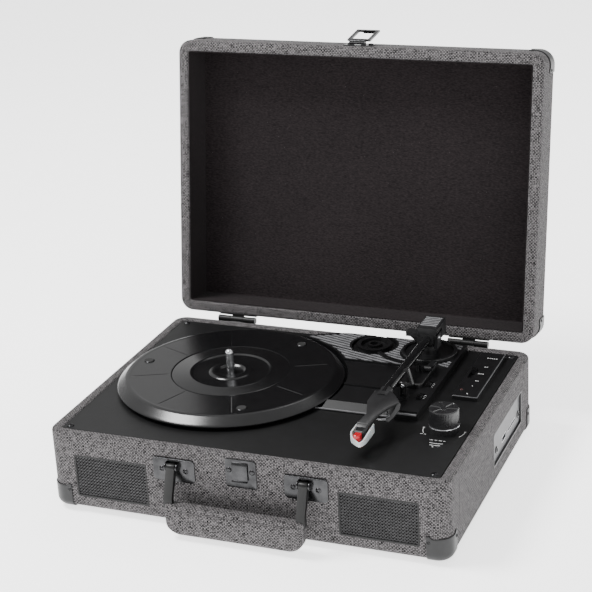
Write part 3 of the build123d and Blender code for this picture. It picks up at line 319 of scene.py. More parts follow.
pine = grain_material("pine_sawn", "#9c7a4e", "#c19c68", 0.8, 0.4, 0.7)
solder_mask = grain_material("circuit_solder_mask", "#0e4a24", "#17602f", 0.8, 0.05, 0.4)
grille_paint = grain_material("steel_mesh_painted", "#1b1b1c", "#303031", 0.5, 0.05, 0.38)
white_ink = grain_material("screen_ink_white", "#b9b9b9", "#dcdcdc", 0.25, 0.0, 0.6)
red_tip = grain_material("styrene_red_clear", "#b3101c", "#e02a36", 0.6, 0.02, 0.2, 0.04,
                         Transmission_Weight=0.25)
milky_guard = grain_material("styrene_milky_clear", "#d9dcdd", "#f2f4f4", 0.8, 0.02, 0.22, 0.05,
                             Transmission_Weight=0.35, Subsurface_Weight=0.1)
lamp_red = grain_material("acrylic_lamp_red", "#240807", "#380b0a", 0.8, 0.02, 0.15, 0.03)

FINISHES = {
    "linen_covering": linen, "lid_lining": lining_cloth, "wood_panel": pine,
    "black_plate": abs_textured, "black_moulding": abs_satin, "gloss_black": abs_gloss,
    "platter_black": abs_platter, "dark_guard": abs_guard, "dark_steel": gunmetal,
    "black_steel": black_steel, "bright_steel": bright_steel, "spindle_steel": bright_steel,
    "black_screw": black_steel, "rubber": rubber, "grey_plate": lacquered_grey,
    "grille_mesh": grille_paint, "strap_black": strap_vinyl, "stylus_red": red_tip,
    "guard_clear": milky_guard, "circuit_green": solder_mask, "brass": raw_brass, "lamp": lamp_red,
}
for part in frame["record"]["subparts"]:
    node_object = frame["nodes"][part["node"]]
    node_object.data.materials.clear()
    node_object.data.materials.append(FINISHES[part["material_slot"]])
frame["nodes"]["arm_tube"].data.materials[0] = abs_gloss
for name in ("counterweight", "tonearm_yoke", "arm_carrier", "arm_rest_clip"):
    frame["nodes"][name].data.materials[0] = abs_headshell
paper = grain_material("studio_paper", "#fafafa", "#fdfdfd", 3.0, 0.02, 0.95, Emission_Strength=1.9,
                       Emission_Color=(1, 1, 1, 1), Specular_IOR_Level=0.0)
floor_mesh.materials.append(paper)
print(len(bpy.data.materials), "materials")

# %% [markdown]
# Every new shape is a grid of points worked out as whole arrays. A shape is kept as its
# points, its faces and the UV of each face corner, so several can be gathered in one mesh.

# %% Shape tools


def grid_shape(points, wrap_rows=False, wrap_columns=False, uv=None):
    """A grid of points, rows x columns x 3, as quads. uv gives one pair for each row line and
    column line of the unrolled grid."""
    rows, columns = points.shape[:2]
    i, j = np.meshgrid(np.arange(rows - (not wrap_rows)), np.arange(columns - (not wrap_columns)),
                       indexing="ij")
    corner_rows = np.stack([i, i, i + 1, i + 1], -1)
    corner_columns = np.stack([j, j + 1, j + 1, j], -1)
    faces = ((corner_rows % rows) * columns + corner_columns % columns).reshape(-1, 4)
    if uv is None:
        corners = np.zeros((*corner_rows.shape, 2))
    else:
        corners = uv[corner_rows, corner_columns]
    return points.reshape(-1, 3), faces.tolist(), corners.reshape(-1, 2)


def prism_shape(outline, levels):
    """An outline of x, y points carried through levels of (z, inset): each ring is the outline
    moved in along its corner normals by the inset. Both ends are closed with one face."""
    outline = np.asarray(outline, float)
    ahead, behind = np.roll(outline, -1, 0) - outline, outline - np.roll(outline, 1, 0)
    ahead /= np.linalg.norm(ahead, axis=1, keepdims=True)
    behind /= np.linalg.norm(behind, axis=1, keepdims=True)
    mitre = ahead + behind
    mitre /= np.linalg.norm(mitre, axis=1, keepdims=True)
    inward = np.stack([-mitre[:, 1], mitre[:, 0]], 1)
    inward /= np.maximum((mitre * ahead).sum(1, keepdims=True), 0.3)
    rings = [np.column_stack([outline + inward * inset, np.full(len(outline), z)]) for z, inset in levels]
    points, faces, _ = grid_shape(np.array(rings), wrap_columns=True)
    count = len(outline)
    faces.append(list(range(count))[::-1])
    faces.append([len(points) - count + k for k in range(count)])
    return points, faces, np.concatenate([points[face][:, :2] for face in faces]) * MM


def rounded_rectangle(width, depth, radius, steps=6):
    """Counter-clockwise outline about 0, 0: a quarter circle of steps at each corner."""
    angles = np.linspace(0, np.pi / 2, steps + 1)
    arcs = []
    for turn, (sx, sy) in enumerate(((1, 1), (-1, 1), (-1, -1), (1, -1))):
        bend = angles + turn * np.pi / 2
        centre = (sx * (width / 2 - radius), sy * (depth / 2 - radius))
        arcs.append(np.column_stack([np.cos(bend), np.sin(bend)]) * radius + centre)
    return np.concatenate(arcs)


def plate_shape(outline, low, high, edge=0.4):
    """A flat plate from low to high with a small rounded edge all round, both sides."""
    edge = min(edge, (high - low) * 0.45)
    return prism_shape(outline, [(low, edge), (low + 0.3 * edge, 0.3 * edge), (low + edge, 0),
                                 (high - edge, 0), (high - 0.3 * edge, 0.3 * edge), (high, edge)])


def lathe_shape(profile, segments=96):
    """A profile of (radius, z) points turned about the z axis: x = r cos t, y = r sin t."""
    r, z = np.asarray(profile, float).T
    t = np.linspace(0, 2 * np.pi, segments, endpoint=False)
    points = np.stack([np.outer(r, np.cos(t)), np.outer(r, np.sin(t)), np.outer(z, np.ones(segments))], -1)
    run = np.concatenate([[0], np.cumsum(np.hypot(np.diff(r), np.diff(z)))])
    around = np.linspace(0, 2 * np.pi, segments + 1) * max(r.max(), 1)
    uv = np.stack(np.broadcast_arrays(around[None, :], run[:, None]), -1) * MM
    return grid_shape(points, wrap_columns=True, uv=uv)


def sweep_shape(path, section, up=(0, 0, 1)):
    """A closed section of (side, up) points carried along a path. The side direction is the
    tangent cross up, so the section never twists."""
    path = np.asarray(path, float)
    tangent = np.gradient(path, axis=0)
    tangent /= np.linalg.norm(tangent, axis=1, keepdims=True)
    side = np.cross(tangent, np.broadcast_to(up, path.shape))
    side /= np.linalg.norm(side, axis=1, keepdims=True)
    rise = np.cross(side, tangent)
    section = np.asarray(section, float)
    points = path[:, None] + side[:, None] * section[None, :, :1] + rise[:, None] * section[None, :, 1:]
    along = np.concatenate([[0], np.cumsum(np.linalg.norm(np.diff(path, axis=0), axis=1))])
    round_it = np.vstack([section, section[:1]])
    girth = np.concatenate([[0], np.cumsum(np.linalg.norm(np.diff(round_it, axis=0), axis=1))])
    uv = np.stack(np.broadcast_arrays(along[:, None], girth[None, :]), -1) * MM
    points, faces, corners = grid_shape(points, wrap_columns=True, uv=uv)
    count = len(section)
    faces += [list(range(count))[::-1], list(range(len(points) - count, len(points)))]
    return points, faces, np.concatenate([corners, np.zeros((2 * count, 2))])


def circle_section(radius, sides=12):
    """A circle of points for a swept rod."""
    t = np.linspace(0, 2 * np.pi, sides, endpoint=False)
    return np.column_stack([np.cos(t), np.sin(t)]) * radius


def placed(shape, origin=(0, 0, 0), x_way=(1, 0, 0), y_way=(0, 1, 0)):
    """Moves a shape: x runs along x_way, y along y_way, z along their cross product."""
    axes = np.array([x_way, y_way, np.cross(x_way, y_way)], float)
    return shape[0] @ axes + np.asarray(origin, float), *shape[1:]


ON_FRONT = ((1, 0, 0), (0, 0, 1))  # x and y ways of a shape drawn on the front, facing out
ON_RIGHT = ((0, 1, 0), (0, 0, 1))  # and of one drawn on the right side


def with_shut_lid(shape):
    """Swings a shape that is drawn on the shut lid about the hinge line to the open stop."""
    _, hinge_y, hinge_z = np.array(LID_HINGE["pos_m"]) / MM
    turn = np.radians(-LID_HINGE["range_deg"][0])
    x, y, z = shape[0].T
    y, z = y - hinge_y, z - hinge_z
    swung = [x, hinge_y + y * np.cos(turn) + z * np.sin(turn), hinge_z - y * np.sin(turn) + z * np.cos(turn)]
    return np.column_stack(swung), *shape[1:]


def make_piece(name, shapes, material, body="root", replaces=(), crease=35):
    """Gathers shapes in millimetres in one mesh object in metres, merges its doubled points,
    turns its faces outwards, gives it its material and body, and hides the nodes it replaces."""
    points, faces, corners = [], [], []
    for shape in shapes:
        start = sum(len(p) for p in points)
        points.append(shape[0])
        faces += [[start + k for k in face] for face in shape[1]]
        corners.append(shape[2])
    mesh = bpy.data.meshes.new(name)
    mesh.from_pydata(np.concatenate(points) * MM, [], faces)
    layer = mesh.uv_layers.new(name="cloth")
    layer.data.foreach_set("uv", np.concatenate(corners).ravel())
    work = bmesh.new()
    work.from_mesh(mesh)
    bmesh.ops.remove_doubles(work, verts=work.verts, dist=2e-6)
    bmesh.ops.dissolve_degenerate(work, edges=work.edges, dist=1e-7)
    bmesh.ops.recalc_face_normals(work, faces=work.faces)
    work.to_mesh(mesh)
    work.free()
    mesh.polygons.foreach_set("use_smooth", np.ones(len(mesh.polygons), bool))
    mesh.set_sharp_from_angle(angle=np.radians(crease))
    mesh.materials.append(material)
    made = bpy.data.objects.new(name, mesh)
    bpy.context.scene.collection.objects.link(made)
    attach(made, body)
    if replaces:
        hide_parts(*replaces)
    return made


def mm_box(node):
    """Lowest and highest corners of a CAD node, in millimetres."""
    low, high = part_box(node)
    return np.array(low) / MM, np.array(high) / MM


JOINTS = {joint["name"]: joint for joint in frame["record"]["behaviour"]["joints"]}
LID_HINGE = JOINTS["lid_hinge"]
print(len(JOINTS), "joints; lid hinge at", LID_HINGE["pos_m"])

# %% [markdown]
# The base is a shallow wooden box with the cloth glued round it in one piece, over the top
# of the rim and under the bottom. A closed wall section carried round a rounded rectangle
# gives that, with rims and edges soft as padded cloth over wood. The openings for the two
# grilles, the side plate and the turned seam of the cloth are cut with Boolean, which keeps
# the UVs that the weave needs.

# %% Base covering
wall_low, wall_high = mm_box("base_wall_panels")
HALF_X, HALF_Y = wall_high[:2]
BASE_LOW, BASE_TOP = wall_low[2], wall_high[2]
CORNER, WALL, LID_WALL = 12.0, 9.0, 10.0  # corner radius, and the two wooden walls with their cloth
CLOTH = 0.3  # how far the cloth stands off the wood
RIM, EDGE = 2.6, 6.0  # bends of the cloth over the rims and round the far edges


def carried(profile, corner_steps=8):
    """Carries a closed profile of (out, z) points round the case's rounded rectangle. out is
    measured from the wood's outer face; UVs are the run round the case and along the profile."""
    outline = rounded_rectangle(2 * HALF_X, 2 * HALF_Y, CORNER, corner_steps)
    straight = []
    for a, b in zip(outline, np.roll(outline, -1, 0)):
        pieces = max(1, int(np.linalg.norm(b - a) // 12))
        straight.append(a + (b - a) * (np.arange(pieces) / pieces)[:, None])
    outline = np.concatenate(straight)
    core = np.clip(outline, [CORNER - HALF_X, CORNER - HALF_Y], [HALF_X - CORNER, HALF_Y - CORNER])
    outward = (outline - core) / np.linalg.norm(outline - core, axis=1, keepdims=True)
    out, z = np.asarray(profile, float).T
    xy = outline[None] + outward[None] * out[:, None, None]
    points = np.concatenate([xy, np.broadcast_to(z[:, None, None], (*xy.shape[:2], 1))], -1)
    steps = np.linalg.norm(np.diff(outline, axis=0, append=outline[:1]), axis=1)
    run = np.concatenate([[0], np.cumsum(steps)])
    along = np.concatenate([[0], np.cumsum(np.hypot(*np.diff(np.vstack([profile, profile[:1]]), axis=0).T))])
    uv = np.stack(np.broadcast_arrays(run[None, :], along[:, None]), -1) * MM
    return points, uv


def arc(centre, radius, start, end, steps=5):
    """Points of an arc about centre, between two angles in degrees."""
    t = np.radians(np.linspace(start, end, steps + 1))
    return np.column_stack([centre[0] + radius * np.cos(t), centre[1] + radius * np.sin(t)])


def cut_away(piece, cutters):
    """Subtracts shapes from a piece with an exact Boolean and keeps the result as its mesh."""
    tool = make_piece("cutter", cutters, piece.data.materials[0])
    cut = piece.modifiers.new("openings", "BOOLEAN")
    cut.operation, cut.solver, cut.object = "DIFFERENCE", "EXACT", tool
    depsgraph = bpy.context.evaluated_depsgraph_get()
    result = bpy.data.meshes.new_from_object(piece.evaluated_get(depsgraph))
    piece.modifiers.clear()
    old = piece.data
    piece.data = result
    bpy.data.meshes.remove(old)
    bpy.data.objects.remove(tool)
    piece.data.set_sharp_from_angle(angle=np.radians(35))


base_profile = np.vstack([
    [(-WALL, BASE_LOW - 0.1), (-WALL, BASE_TOP - RIM)],
    arc((RIM - WALL, BASE_TOP - RIM), RIM, 180, 90), arc((CLOTH - RIM, BASE_TOP - RIM), RIM, 90, 0),
    [(CLOTH, 50), (CLOTH, 30), (CLOTH, BASE_LOW + EDGE)],
    arc((CLOTH - EDGE, BASE_LOW + EDGE - 0.1), EDGE, 0, -90, 7)[1:],
])
base_points, base_uv = carried(base_profile)
base_cloth = make_piece("base_covering", [grid_shape(base_points, True, True, base_uv)], linen,
                        replaces=("base_wall_panels",), crease=50)
grille_low, grille_high = mm_box("speaker_grilles")
side_low, side_high = mm_box("side_connector_plate")
GRILLE_W, GRILLE_H = 67.5, grille_high[2] - grille_low[2]
GRILLE_X, GRILLE_Z = grille_high[0] - GRILLE_W / 2, (grille_high[2] + grille_low[2]) / 2
side_centre = (HALF_X, (side_low[1] + side_high[1]) / 2, (side_low[2] + side_high[2]) / 2)
side_length, side_height = side_high[1] - side_low[1], side_high[2] - side_low[2]
cutters = []
for side in (-1, 1):
    window = prism_shape(rounded_rectangle(GRILLE_W, GRILLE_H, 2), [(-2.2, 0), (3, 0)])
    cutters.append(placed(window, (side * GRILLE_X, -HALF_Y, GRILLE_Z), *ON_FRONT))
window = prism_shape(rounded_rectangle(side_length + 1, side_height + 1, 2.5), [(-4, 0), (3, 0)])
cutters.append(placed(window, side_centre, *ON_RIGHT))
SEAM_BESIDE, SEAM_HALF, SEAM_MIDDLE = 29, 24, 49
seam = prism_shape([(-0.35, -SEAM_HALF), (0.35, -SEAM_HALF), (0.35, SEAM_HALF), (-0.35, SEAM_HALF)],
                   [(-0.9, 0), (1, 0)])
cutters.append(placed(seam, (HALF_X, -HALF_Y + SEAM_BESIDE, SEAM_MIDDLE), *ON_RIGHT))
cut_away(base_cloth, cutters)
print("base covering", len(base_cloth.data.polygons), "faces")

# %% [markdown]
# The lid is the same box, upside down and swung open. Its covering is closed over the top,
# so the last ring shrinks to the middle, where the UVs turn flat. The lining is a thin
# black tray inside it whose edge is a millimetre short of the rim.

# %% Lid covering and lining
LID_LOW, LID_TOP = BASE_TOP + 0.5, BASE_TOP + 42.5
TOP_PANEL = 5.0


def closed_shell(low_rows, wall_profile, high_rows):
    """Rings that shrink to the middle at both ends of a carried wall: low_rows and high_rows
    are (scale, z) of the first and last ring. Shrinking rows have flat UVs, x and y."""
    wall, wall_uv = carried(wall_profile)

    def cap(ring, rows):
        """The ring's outline times each scale, at each height, and then the ring itself."""
        points = np.repeat(ring[None], len(rows) + 1, 0)
        scale, z = np.array(rows).T
        points[:-1, :, :2] *= scale[:, None, None]
        points[:-1, :, 2] = z[:, None]
        flat = np.concatenate([points, points[:, :1]], 1)[..., :2] * MM
        return grid_shape(points, wrap_columns=True, uv=flat)

    sides = grid_shape(wall, wrap_columns=True, uv=wall_uv[:len(wall_profile)])
    return [sides, cap(wall[0], low_rows), cap(wall[-1], high_rows)]


inner_top = LID_TOP - TOP_PANEL
lid_profile = np.vstack([
    [(-LID_WALL, inner_top), (-LID_WALL, LID_LOW + RIM)],
    arc((RIM - LID_WALL, LID_LOW + RIM), RIM, 180, 270), arc((CLOTH - RIM, LID_LOW + RIM), RIM, 270, 360),
    [(CLOTH, LID_LOW + 12), (CLOTH, LID_TOP - EDGE)],
    arc((CLOTH - EDGE, LID_TOP - EDGE + 0.2), EDGE, 0, 90, 7)[1:],
])
shrink = [0.0, 0.25, 0.5, 0.75, 0.95]  # sizes of the rings that close the flat faces
lid_shapes = closed_shell([(s, inner_top) for s in shrink], lid_profile,
                          [(s, LID_TOP + 0.2) for s in shrink])
make_piece("lid_covering", [with_shut_lid(shape) for shape in lid_shapes], linen, "lid",
           ("lid_wall_panels", "lid_top_panel"), crease=50)
lining_low = LID_LOW + 1.2
lining_profile = np.vstack([
    [(-LID_WALL - 0.05, inner_top - 0.05), (-LID_WALL - 0.05, lining_low)],
    arc((-LID_WALL - 0.35, lining_low), 0.3, 0, -180, 4), [(-LID_WALL - 0.65, inner_top - 1.4)],
    arc((-LID_WALL - 1.65, inner_top - 1.6), 1.0, 0, 90, 3),
])
lining_shapes = closed_shell([(s, inner_top - 0.05) for s in shrink], lining_profile,
                             [(s, inner_top - 0.65) for s in shrink])
make_piece("lid_lining_cloth", [with_shut_lid(shape) for shape in lining_shapes], lining_cloth, "lid",
           ("lid_lining",), crease=50)
print("lid covered and lined")

# %% [markdown]
# Moulded guards cap the far corners. Each is a smooth shell about 1.5 mm proud of the
# cloth, whose edge dips between the three faces it covers and has a small screw ear. It is
# a patch of the case's own rounded corner, grown outwards, with a rolled edge.

# %% Corner guards


def guard_patch():
    """The base's guard at the corner +x, +y. One way goes round the upright edge, to reach from
    the corner along both sides; the other goes from the inset under the base round its edge
    and up the wall. The rim is at rise, a little lower to each end, plus a screw ear there."""
    reach, rise, inset, proud = 18.5, 20.5, 15.0, 1.3
    bend = np.radians(np.linspace(0, 90, 13))
    along = np.linspace(0, reach - CORNER, 6)
    # the path starts on the +y side, goes round the corner and ends on the +x side
    path = np.concatenate([
        np.column_stack([HALF_X - CORNER - along[::-1], np.full(6, HALF_Y)]),
        np.column_stack([HALF_X - CORNER + CORNER * np.sin(bend[1:]),
                         HALF_Y - CORNER + CORNER * np.cos(bend[1:])]),
        np.column_stack([np.full(5, HALF_X), HALF_Y - CORNER - along[1:]]),
    ])
    core = np.clip(path, None, [HALF_X - CORNER, HALF_Y - CORNER])
    outward = (path - core) / np.linalg.norm(path - core, axis=1, keepdims=True)
    share = np.abs(np.linspace(-1, 1, len(path)))
    step = np.clip((share - 0.62) / 0.2, 0, 1)
    ear = 3.0 * step ** 2 * (3 - 2 * step)
    top = rise - 2.0 * share ** 2 + ear
    edge = CORNER / 2
    t = np.linspace(0, 1, 22)[:, None]
    quarter = np.radians(np.clip((t - 0.3) / 0.3, 0, 1) * 90)
    inwards = np.clip(0.3 - t, 0, None) / 0.3 * (inset - edge) * (1 - 0.45 * share ** 2)[None]
    upwards = np.clip(t - 0.6, 0, None) / 0.4 * (top - edge)[None]
    radius = edge + proud
    out = proud - radius + radius * np.sin(quarter) - inwards
    height = edge - radius * np.cos(quarter) + upwards
    xy = core[None] + outward[None] * (CORNER + np.maximum(out, -CORNER))[..., None]
    return grid_shape(np.concatenate([xy, height[..., None] + BASE_LOW], -1))


def guards(name, body, replaced, turn_over):
    """Four mirrored copies of the patch, turned over for the lid, thickened inwards and rounded
    at the edge."""
    shapes = []
    for sx in (-1, 1):
        for sy in (-1, 1):
            points, faces, uv = guard_patch()
            points = points * [sx, sy, 1]
            if sx * sy < 0:
                faces = [face[::-1] for face in faces]
            if turn_over:
                points = points * [1, 1, -1] + [0, 0, LID_TOP + BASE_LOW]
                faces = [face[::-1] for face in faces]
            shapes.append(with_shut_lid((points, faces, uv)) if turn_over else (points, faces, uv))
    made = make_piece(name, shapes, abs_guard, body, (replaced,), crease=60)
    shell = made.modifiers.new("wall", "SOLIDIFY")
    shell.thickness, shell.offset = 1.3 * MM, -1
    bevel = made.modifiers.new("rolled edge", "BEVEL")
    bevel.width, bevel.segments, bevel.limit_method, bevel.angle_limit = 0.5 * MM, 2, "ANGLE", np.radians(50)
    return made


base_guards = guards("base_guards", "root", "base_corner_guards", turn_over=False)
guards("lid_guards", "lid", "lid_corner_guards", turn_over=True)
print("a set of guards has", len(base_guards.data.polygons), "faces before its wall")

# %% [markdown]
# The platter is one glossy moulding: a bevelled flange, two fine grooves, a raised ring in
# the middle and shallow lines that run out from it. It is turned from a profile, and the
# lines are pressed in by lowering the points near eight directions.

# %% Platter
platter_low, platter_high = mm_box("platter")
PLATTER = (platter_low + platter_high)[:2] / 2
PLATTER_R = (platter_high[0] - platter_low[0]) / 2
TOP = platter_high[2]
SEGMENTS = 960
SPOKES, FIRST_SPOKE = 8, np.radians(23.5)
PAD_CIRCLE = 80


def platter_shape():
    """A turned profile whose height drops by 0.35 mm times a Gaussian of the distance to the
    nearest of eight spokes, between radii 54 and 88."""
    low = platter_low[2]
    ring = [(0.0, 0.0), (0.8, 0.35), (1.6, 0.0)]
    profile = [(0, TOP - 1.8), (11, TOP - 1.8), (11.6, TOP - 1.5), (12.6, TOP - 0.25), (13.4, TOP),
               (18.2, TOP), (18.9, TOP - 0.3), (19.6, TOP - 0.95), (33.2, TOP - 0.95), (34.2, TOP - 0.7),
               (35.2, TOP + 0.15), (36.2, TOP + 0.35), (37.4, TOP + 0.1), (38.2, TOP - 0.25)]
    profile += [(51.2 + r, TOP - 0.25 - z) for r, z in ring]
    profile += [(r, TOP - 0.25) for r in np.linspace(54, 88, 18)]
    profile += [(89.2 + r, TOP - 0.25 + 0.6 * z) for r, z in ring]
    profile += [(92.6, TOP - 0.35), (93.4, TOP - 0.8), (PLATTER_R - 1.6, low + 2.6),
                (PLATTER_R - 0.5, low + 1.9), (PLATTER_R, low + 1.2), (PLATTER_R, low + 0.3),
                (PLATTER_R - 0.3, low), (PLATTER_R - 3.2, low), (PLATTER_R - 3.2, low + 1), (90, TOP - 2.0),
                (70, TOP - 2.0),
                (70, low + 1), (68, low + 1), (68, TOP - 2.0), (12, TOP - 3), (12, low + 2), (0, low + 2)]
    points, faces, uv = lathe_shape(profile, SEGMENTS)
    r = np.hypot(points[:, 0], points[:, 1])
    angle = np.arctan2(points[:, 1], points[:, 0])
    half_sector = np.pi / SPOKES
    spoke = (angle - FIRST_SPOKE + half_sector) % (2 * half_sector) - half_sector
    across = r * np.sin(spoke)
    inside = (r > 54.5) & (r < 87.5) & (points[:, 2] > TOP - 1)
    points[:, 2] -= inside * 0.35 * np.exp(-(across / 0.45) ** 2)
    points[:, :2] += PLATTER
    return points, faces, uv


make_piece("platter_top", [platter_shape()], abs_platter, "turntable", ("platter",))
pad_rims = []
for angle in np.radians([60, 180, 300]):
    centre = PLATTER + PAD_CIRCLE * np.array([np.cos(angle), np.sin(angle)])
    rim_profile = [(4.0, -0.6), (4.7, -0.6), (4.6, 0.1), (4.3, 0.35), (4.05, 0.1), (4.0, -0.6)]
    pad_rims.append(placed(lathe_shape(rim_profile, 48), (*centre, TOP)))
make_piece("pad_rims", pad_rims, gunmetal, "turntable")
print("platter radius", PLATTER_R)

# %% [markdown]
# Screws and rivets are small, but the eye finds them. A head is a dome of revolution, and
# its cross is pressed in by lowering its grid of points. They sit where the frame's do, and
# two more hold each corner guard.

# %% Screw heads


def cross_head(radius, height, depth, arm=0.22):
    """A dome z = height (1 - (r/R)^4) over polar rings, less a share, depth, of its height where
    the point is within arm of either axis and inside 0.64 R: a cross recess."""
    rings, segments = 15, 64
    r = radius * np.linspace(0, 1, rings) ** 0.8
    t = np.linspace(0, 2 * np.pi, segments, endpoint=False) + np.pi / segments
    x, y = np.outer(r, np.cos(t)), np.outer(r, np.sin(t))
    z = height * (1 - (np.broadcast_to(r[:, None], x.shape) / radius) ** 4)
    slot = np.minimum(np.abs(x), np.abs(y)) / radius
    reach = np.hypot(x, y) / radius
    pressed = np.clip((arm - slot) / 0.06, 0, 1) * np.clip((0.64 - reach) / 0.06, 0, 1)
    z = z - depth * height * pressed
    skirt = np.stack([x[-1], y[-1], np.full(segments, -0.2)], -1)
    middle = np.zeros((1, segments, 3))
    middle[..., 2] = -0.2
    grid = np.concatenate([np.stack([x, y, z], -1), skirt[None], middle])
    return grid_shape(grid, wrap_columns=True)


def heads(name, places, radius, height, material, body="root", replaced=(), cross=True,
          shut=False):
    """Screw heads at (point, outward direction, x direction) places."""
    shapes = []
    for point, out, x_way in places:
        y_way = np.cross(out, x_way)
        shape = placed(cross_head(radius, height, 0.55 if cross else 0.0), point, x_way, y_way)
        shapes.append(with_shut_lid(shape) if shut else shape)
    return make_piece(name, shapes, material, body, replaced)


FRONT = -HALF_Y
BRACKET_X, HINGE_X = 58.0, 115
bracket_low, bracket_high = mm_box("handle_brackets")
keeper_low, keeper_high = mm_box("latch_keeper")
plate_low, plate_high = mm_box("plate_screws")
plate_top = mm_box("top_plate")[1][2]
keeper_x = (keeper_low[0] + keeper_high[0]) / 2
screw_z = (bracket_low[2] + bracket_high[2]) / 2
leaf_z = LID_HINGE["pos_m"][2] / MM - 13
slant = (np.cos(np.radians(25)), 0, np.sin(np.radians(25)))
PLATE_HEAD = 3.2
bracket_places = [((side * BRACKET_X + dx, FRONT - 1.4, screw_z), (0, -1, 0), slant)
                  for side in (-1, 1) for dx in (-10.75, 10.75)]
rivet_places = [((keeper_x + dx, FRONT - 1.4, keeper_high[2] - 10), (0, -1, 0), (1, 0, 0))
                for dx in (-10.2, 10.2)]
hinge_places = [((side * HINGE_X + dx, HALF_Y + 1.1, leaf_z), (0, 1, 0), slant)
                for side in (-1, 1) for dx in (-12.67, 12.67)]
plate_places = [((x, y, plate_top), (0, 0, 1), (np.cos(x + y), np.sin(x + y), 0))
                for x in (plate_low[0] + PLATE_HEAD, plate_high[0] - PLATE_HEAD)
                for y in (plate_low[1] + PLATE_HEAD, plate_high[1] - PLATE_HEAD)]
heads("bracket_screws", bracket_places, 2.5, 1.25, gunmetal, replaced=("case_screws",))
heads("keeper_rivets", rivet_places, 2.5, 1.3, gunmetal, cross=False)
heads("hinge_screws", hinge_places, 2.5, 1.25, black_steel)
heads("plate_screw_heads", plate_places, PLATE_HEAD, 1.4, gunmetal,
      replaced=("plate_screws",))

GUARD_SCREW, GUARD_FACE = 16.5, 1.2
guard_places = []
for sx in (-1, 1):
    for sy in (-1, 1):
        across, along = sx * (HALF_X - GUARD_SCREW), sy * (HALF_Y - GUARD_SCREW)
        screw_up = BASE_LOW + GUARD_SCREW
        guard_places.append(((across, sy * (HALF_Y + GUARD_FACE), screw_up), (0, sy, 0), (1, 0, 0)))
        guard_places.append(((sx * (HALF_X + GUARD_FACE), along, screw_up), (sx, 0, 0), (0, 1, 0)))
heads("base_guard_screws", guard_places, 1.7, 0.8, abs_guard)
lid_places = [((p[0], p[1], LID_TOP + BASE_LOW - p[2]), out, x_way) for p, out, x_way in guard_places]
heads("lid_guard_screws", lid_places, 1.7, 0.8, abs_guard, "lid", shut=True)
print(2 * len(guard_places), "guard screws")

# %% [markdown]
# Behind each grille frame is a fine steel mesh on the diagonal. Two families of flattened
# wires go over and under each other, so each wire is a ribbon whose height is a sine of
# its length; a thin frame covers their ends, and a dark cloth backs them. The mesh is drawn
# with a 2 mm pitch, coarser than the real one, so that it shows.

# %% Speaker grilles


def mesh_wires(width, height, pitch, wire):
    """Wires of the two diagonals across a rectangle, a pitch apart. The height of each is
    0.28 sin(pi s / pitch), with s the length along it, turned over for every other wire."""
    shapes = []
    reach = (width + height) / np.sqrt(2) / 2
    section = [(-wire / 2, -0.12), (wire / 2, -0.12), (0, 0.2)]
    for way, phase in ((1, 0), (-1, 1)):
        direction, normal = np.array([[1, way], [-way, 1]]) / np.sqrt(2)
        for k, offset in enumerate(np.arange(-reach, reach, pitch)):
            base = normal * offset
            ends = np.sort((np.array([[-1], [1]]) * [width / 2, height / 2] - base) / direction, axis=0)
            start, end = ends[0].max(), ends[1].min()
            if end - start < pitch:
                continue
            s = np.linspace(start, end, max(3, int((end - start) / pitch * 2)))
            rise = 0.28 * np.sin(np.pi * (s / pitch + k + phase))
            path = np.column_stack([base[0] + direction[0] * s, base[1] + direction[1] * s, rise])
            shapes.append(sweep_shape(path, section))
    return shapes


def ring_plate(outer, inner, low, high):
    """A flat frame between two outlines with the same number of points, 0.3 mm bevelled."""
    rows = [np.column_stack([outline, np.full(len(outline), z)])
            for outline, z in ((outer, low), (outer, high - 0.3), (outer * 0.997, high),
                               (inner * 1.004, high), (inner, high - 0.3), (inner, low))]
    return grid_shape(np.array(rows), wrap_rows=True, wrap_columns=True)


wires = mesh_wires(GRILLE_W - 2, GRILLE_H - 2, pitch=2.0, wire=0.95)
ring = ring_plate(rounded_rectangle(GRILLE_W, GRILLE_H, 2),
                  rounded_rectangle(GRILLE_W - 3.2, GRILLE_H - 3.2, 1.2), -1.2, 0.35)
back = plate_shape(rounded_rectangle(GRILLE_W - 1, GRILLE_H - 1, 1), -2.0, -1.2)
grille_shapes, frame_shapes, back_shapes = [], [], []
for side in (-1, 1):
    here = (side * GRILLE_X, FRONT, GRILLE_Z)
    grille_shapes += [placed((wire[0] + [0, 0, -0.2], *wire[1:]), here, *ON_FRONT) for wire in wires]
    frame_shapes.append(placed(ring, here, *ON_FRONT))
    back_shapes.append(placed(back, here, *ON_FRONT))
make_piece("grille_mesh", grille_shapes, grille_paint, replaces=("speaker_grilles",))
make_piece("grille_frames", frame_shapes, strap_vinyl)
make_piece("grille_cloth", back_shapes, lining_cloth)
print(len(wires), "wires in each grille")

# %% [markdown]
# The handle is a padded bar in the same cloth, hung on two flat black straps from pressed
# brackets. The grip is a rounded slab: a superellipse section carried along its length that
# draws in at the rounded lower corners, with a sewn seam near its top edge.

# %% Handle grip
grip_low, grip_high = mm_box("handle_grip")
grip_middle = (grip_low + grip_high) / 2
GRIP_SIDES = 56


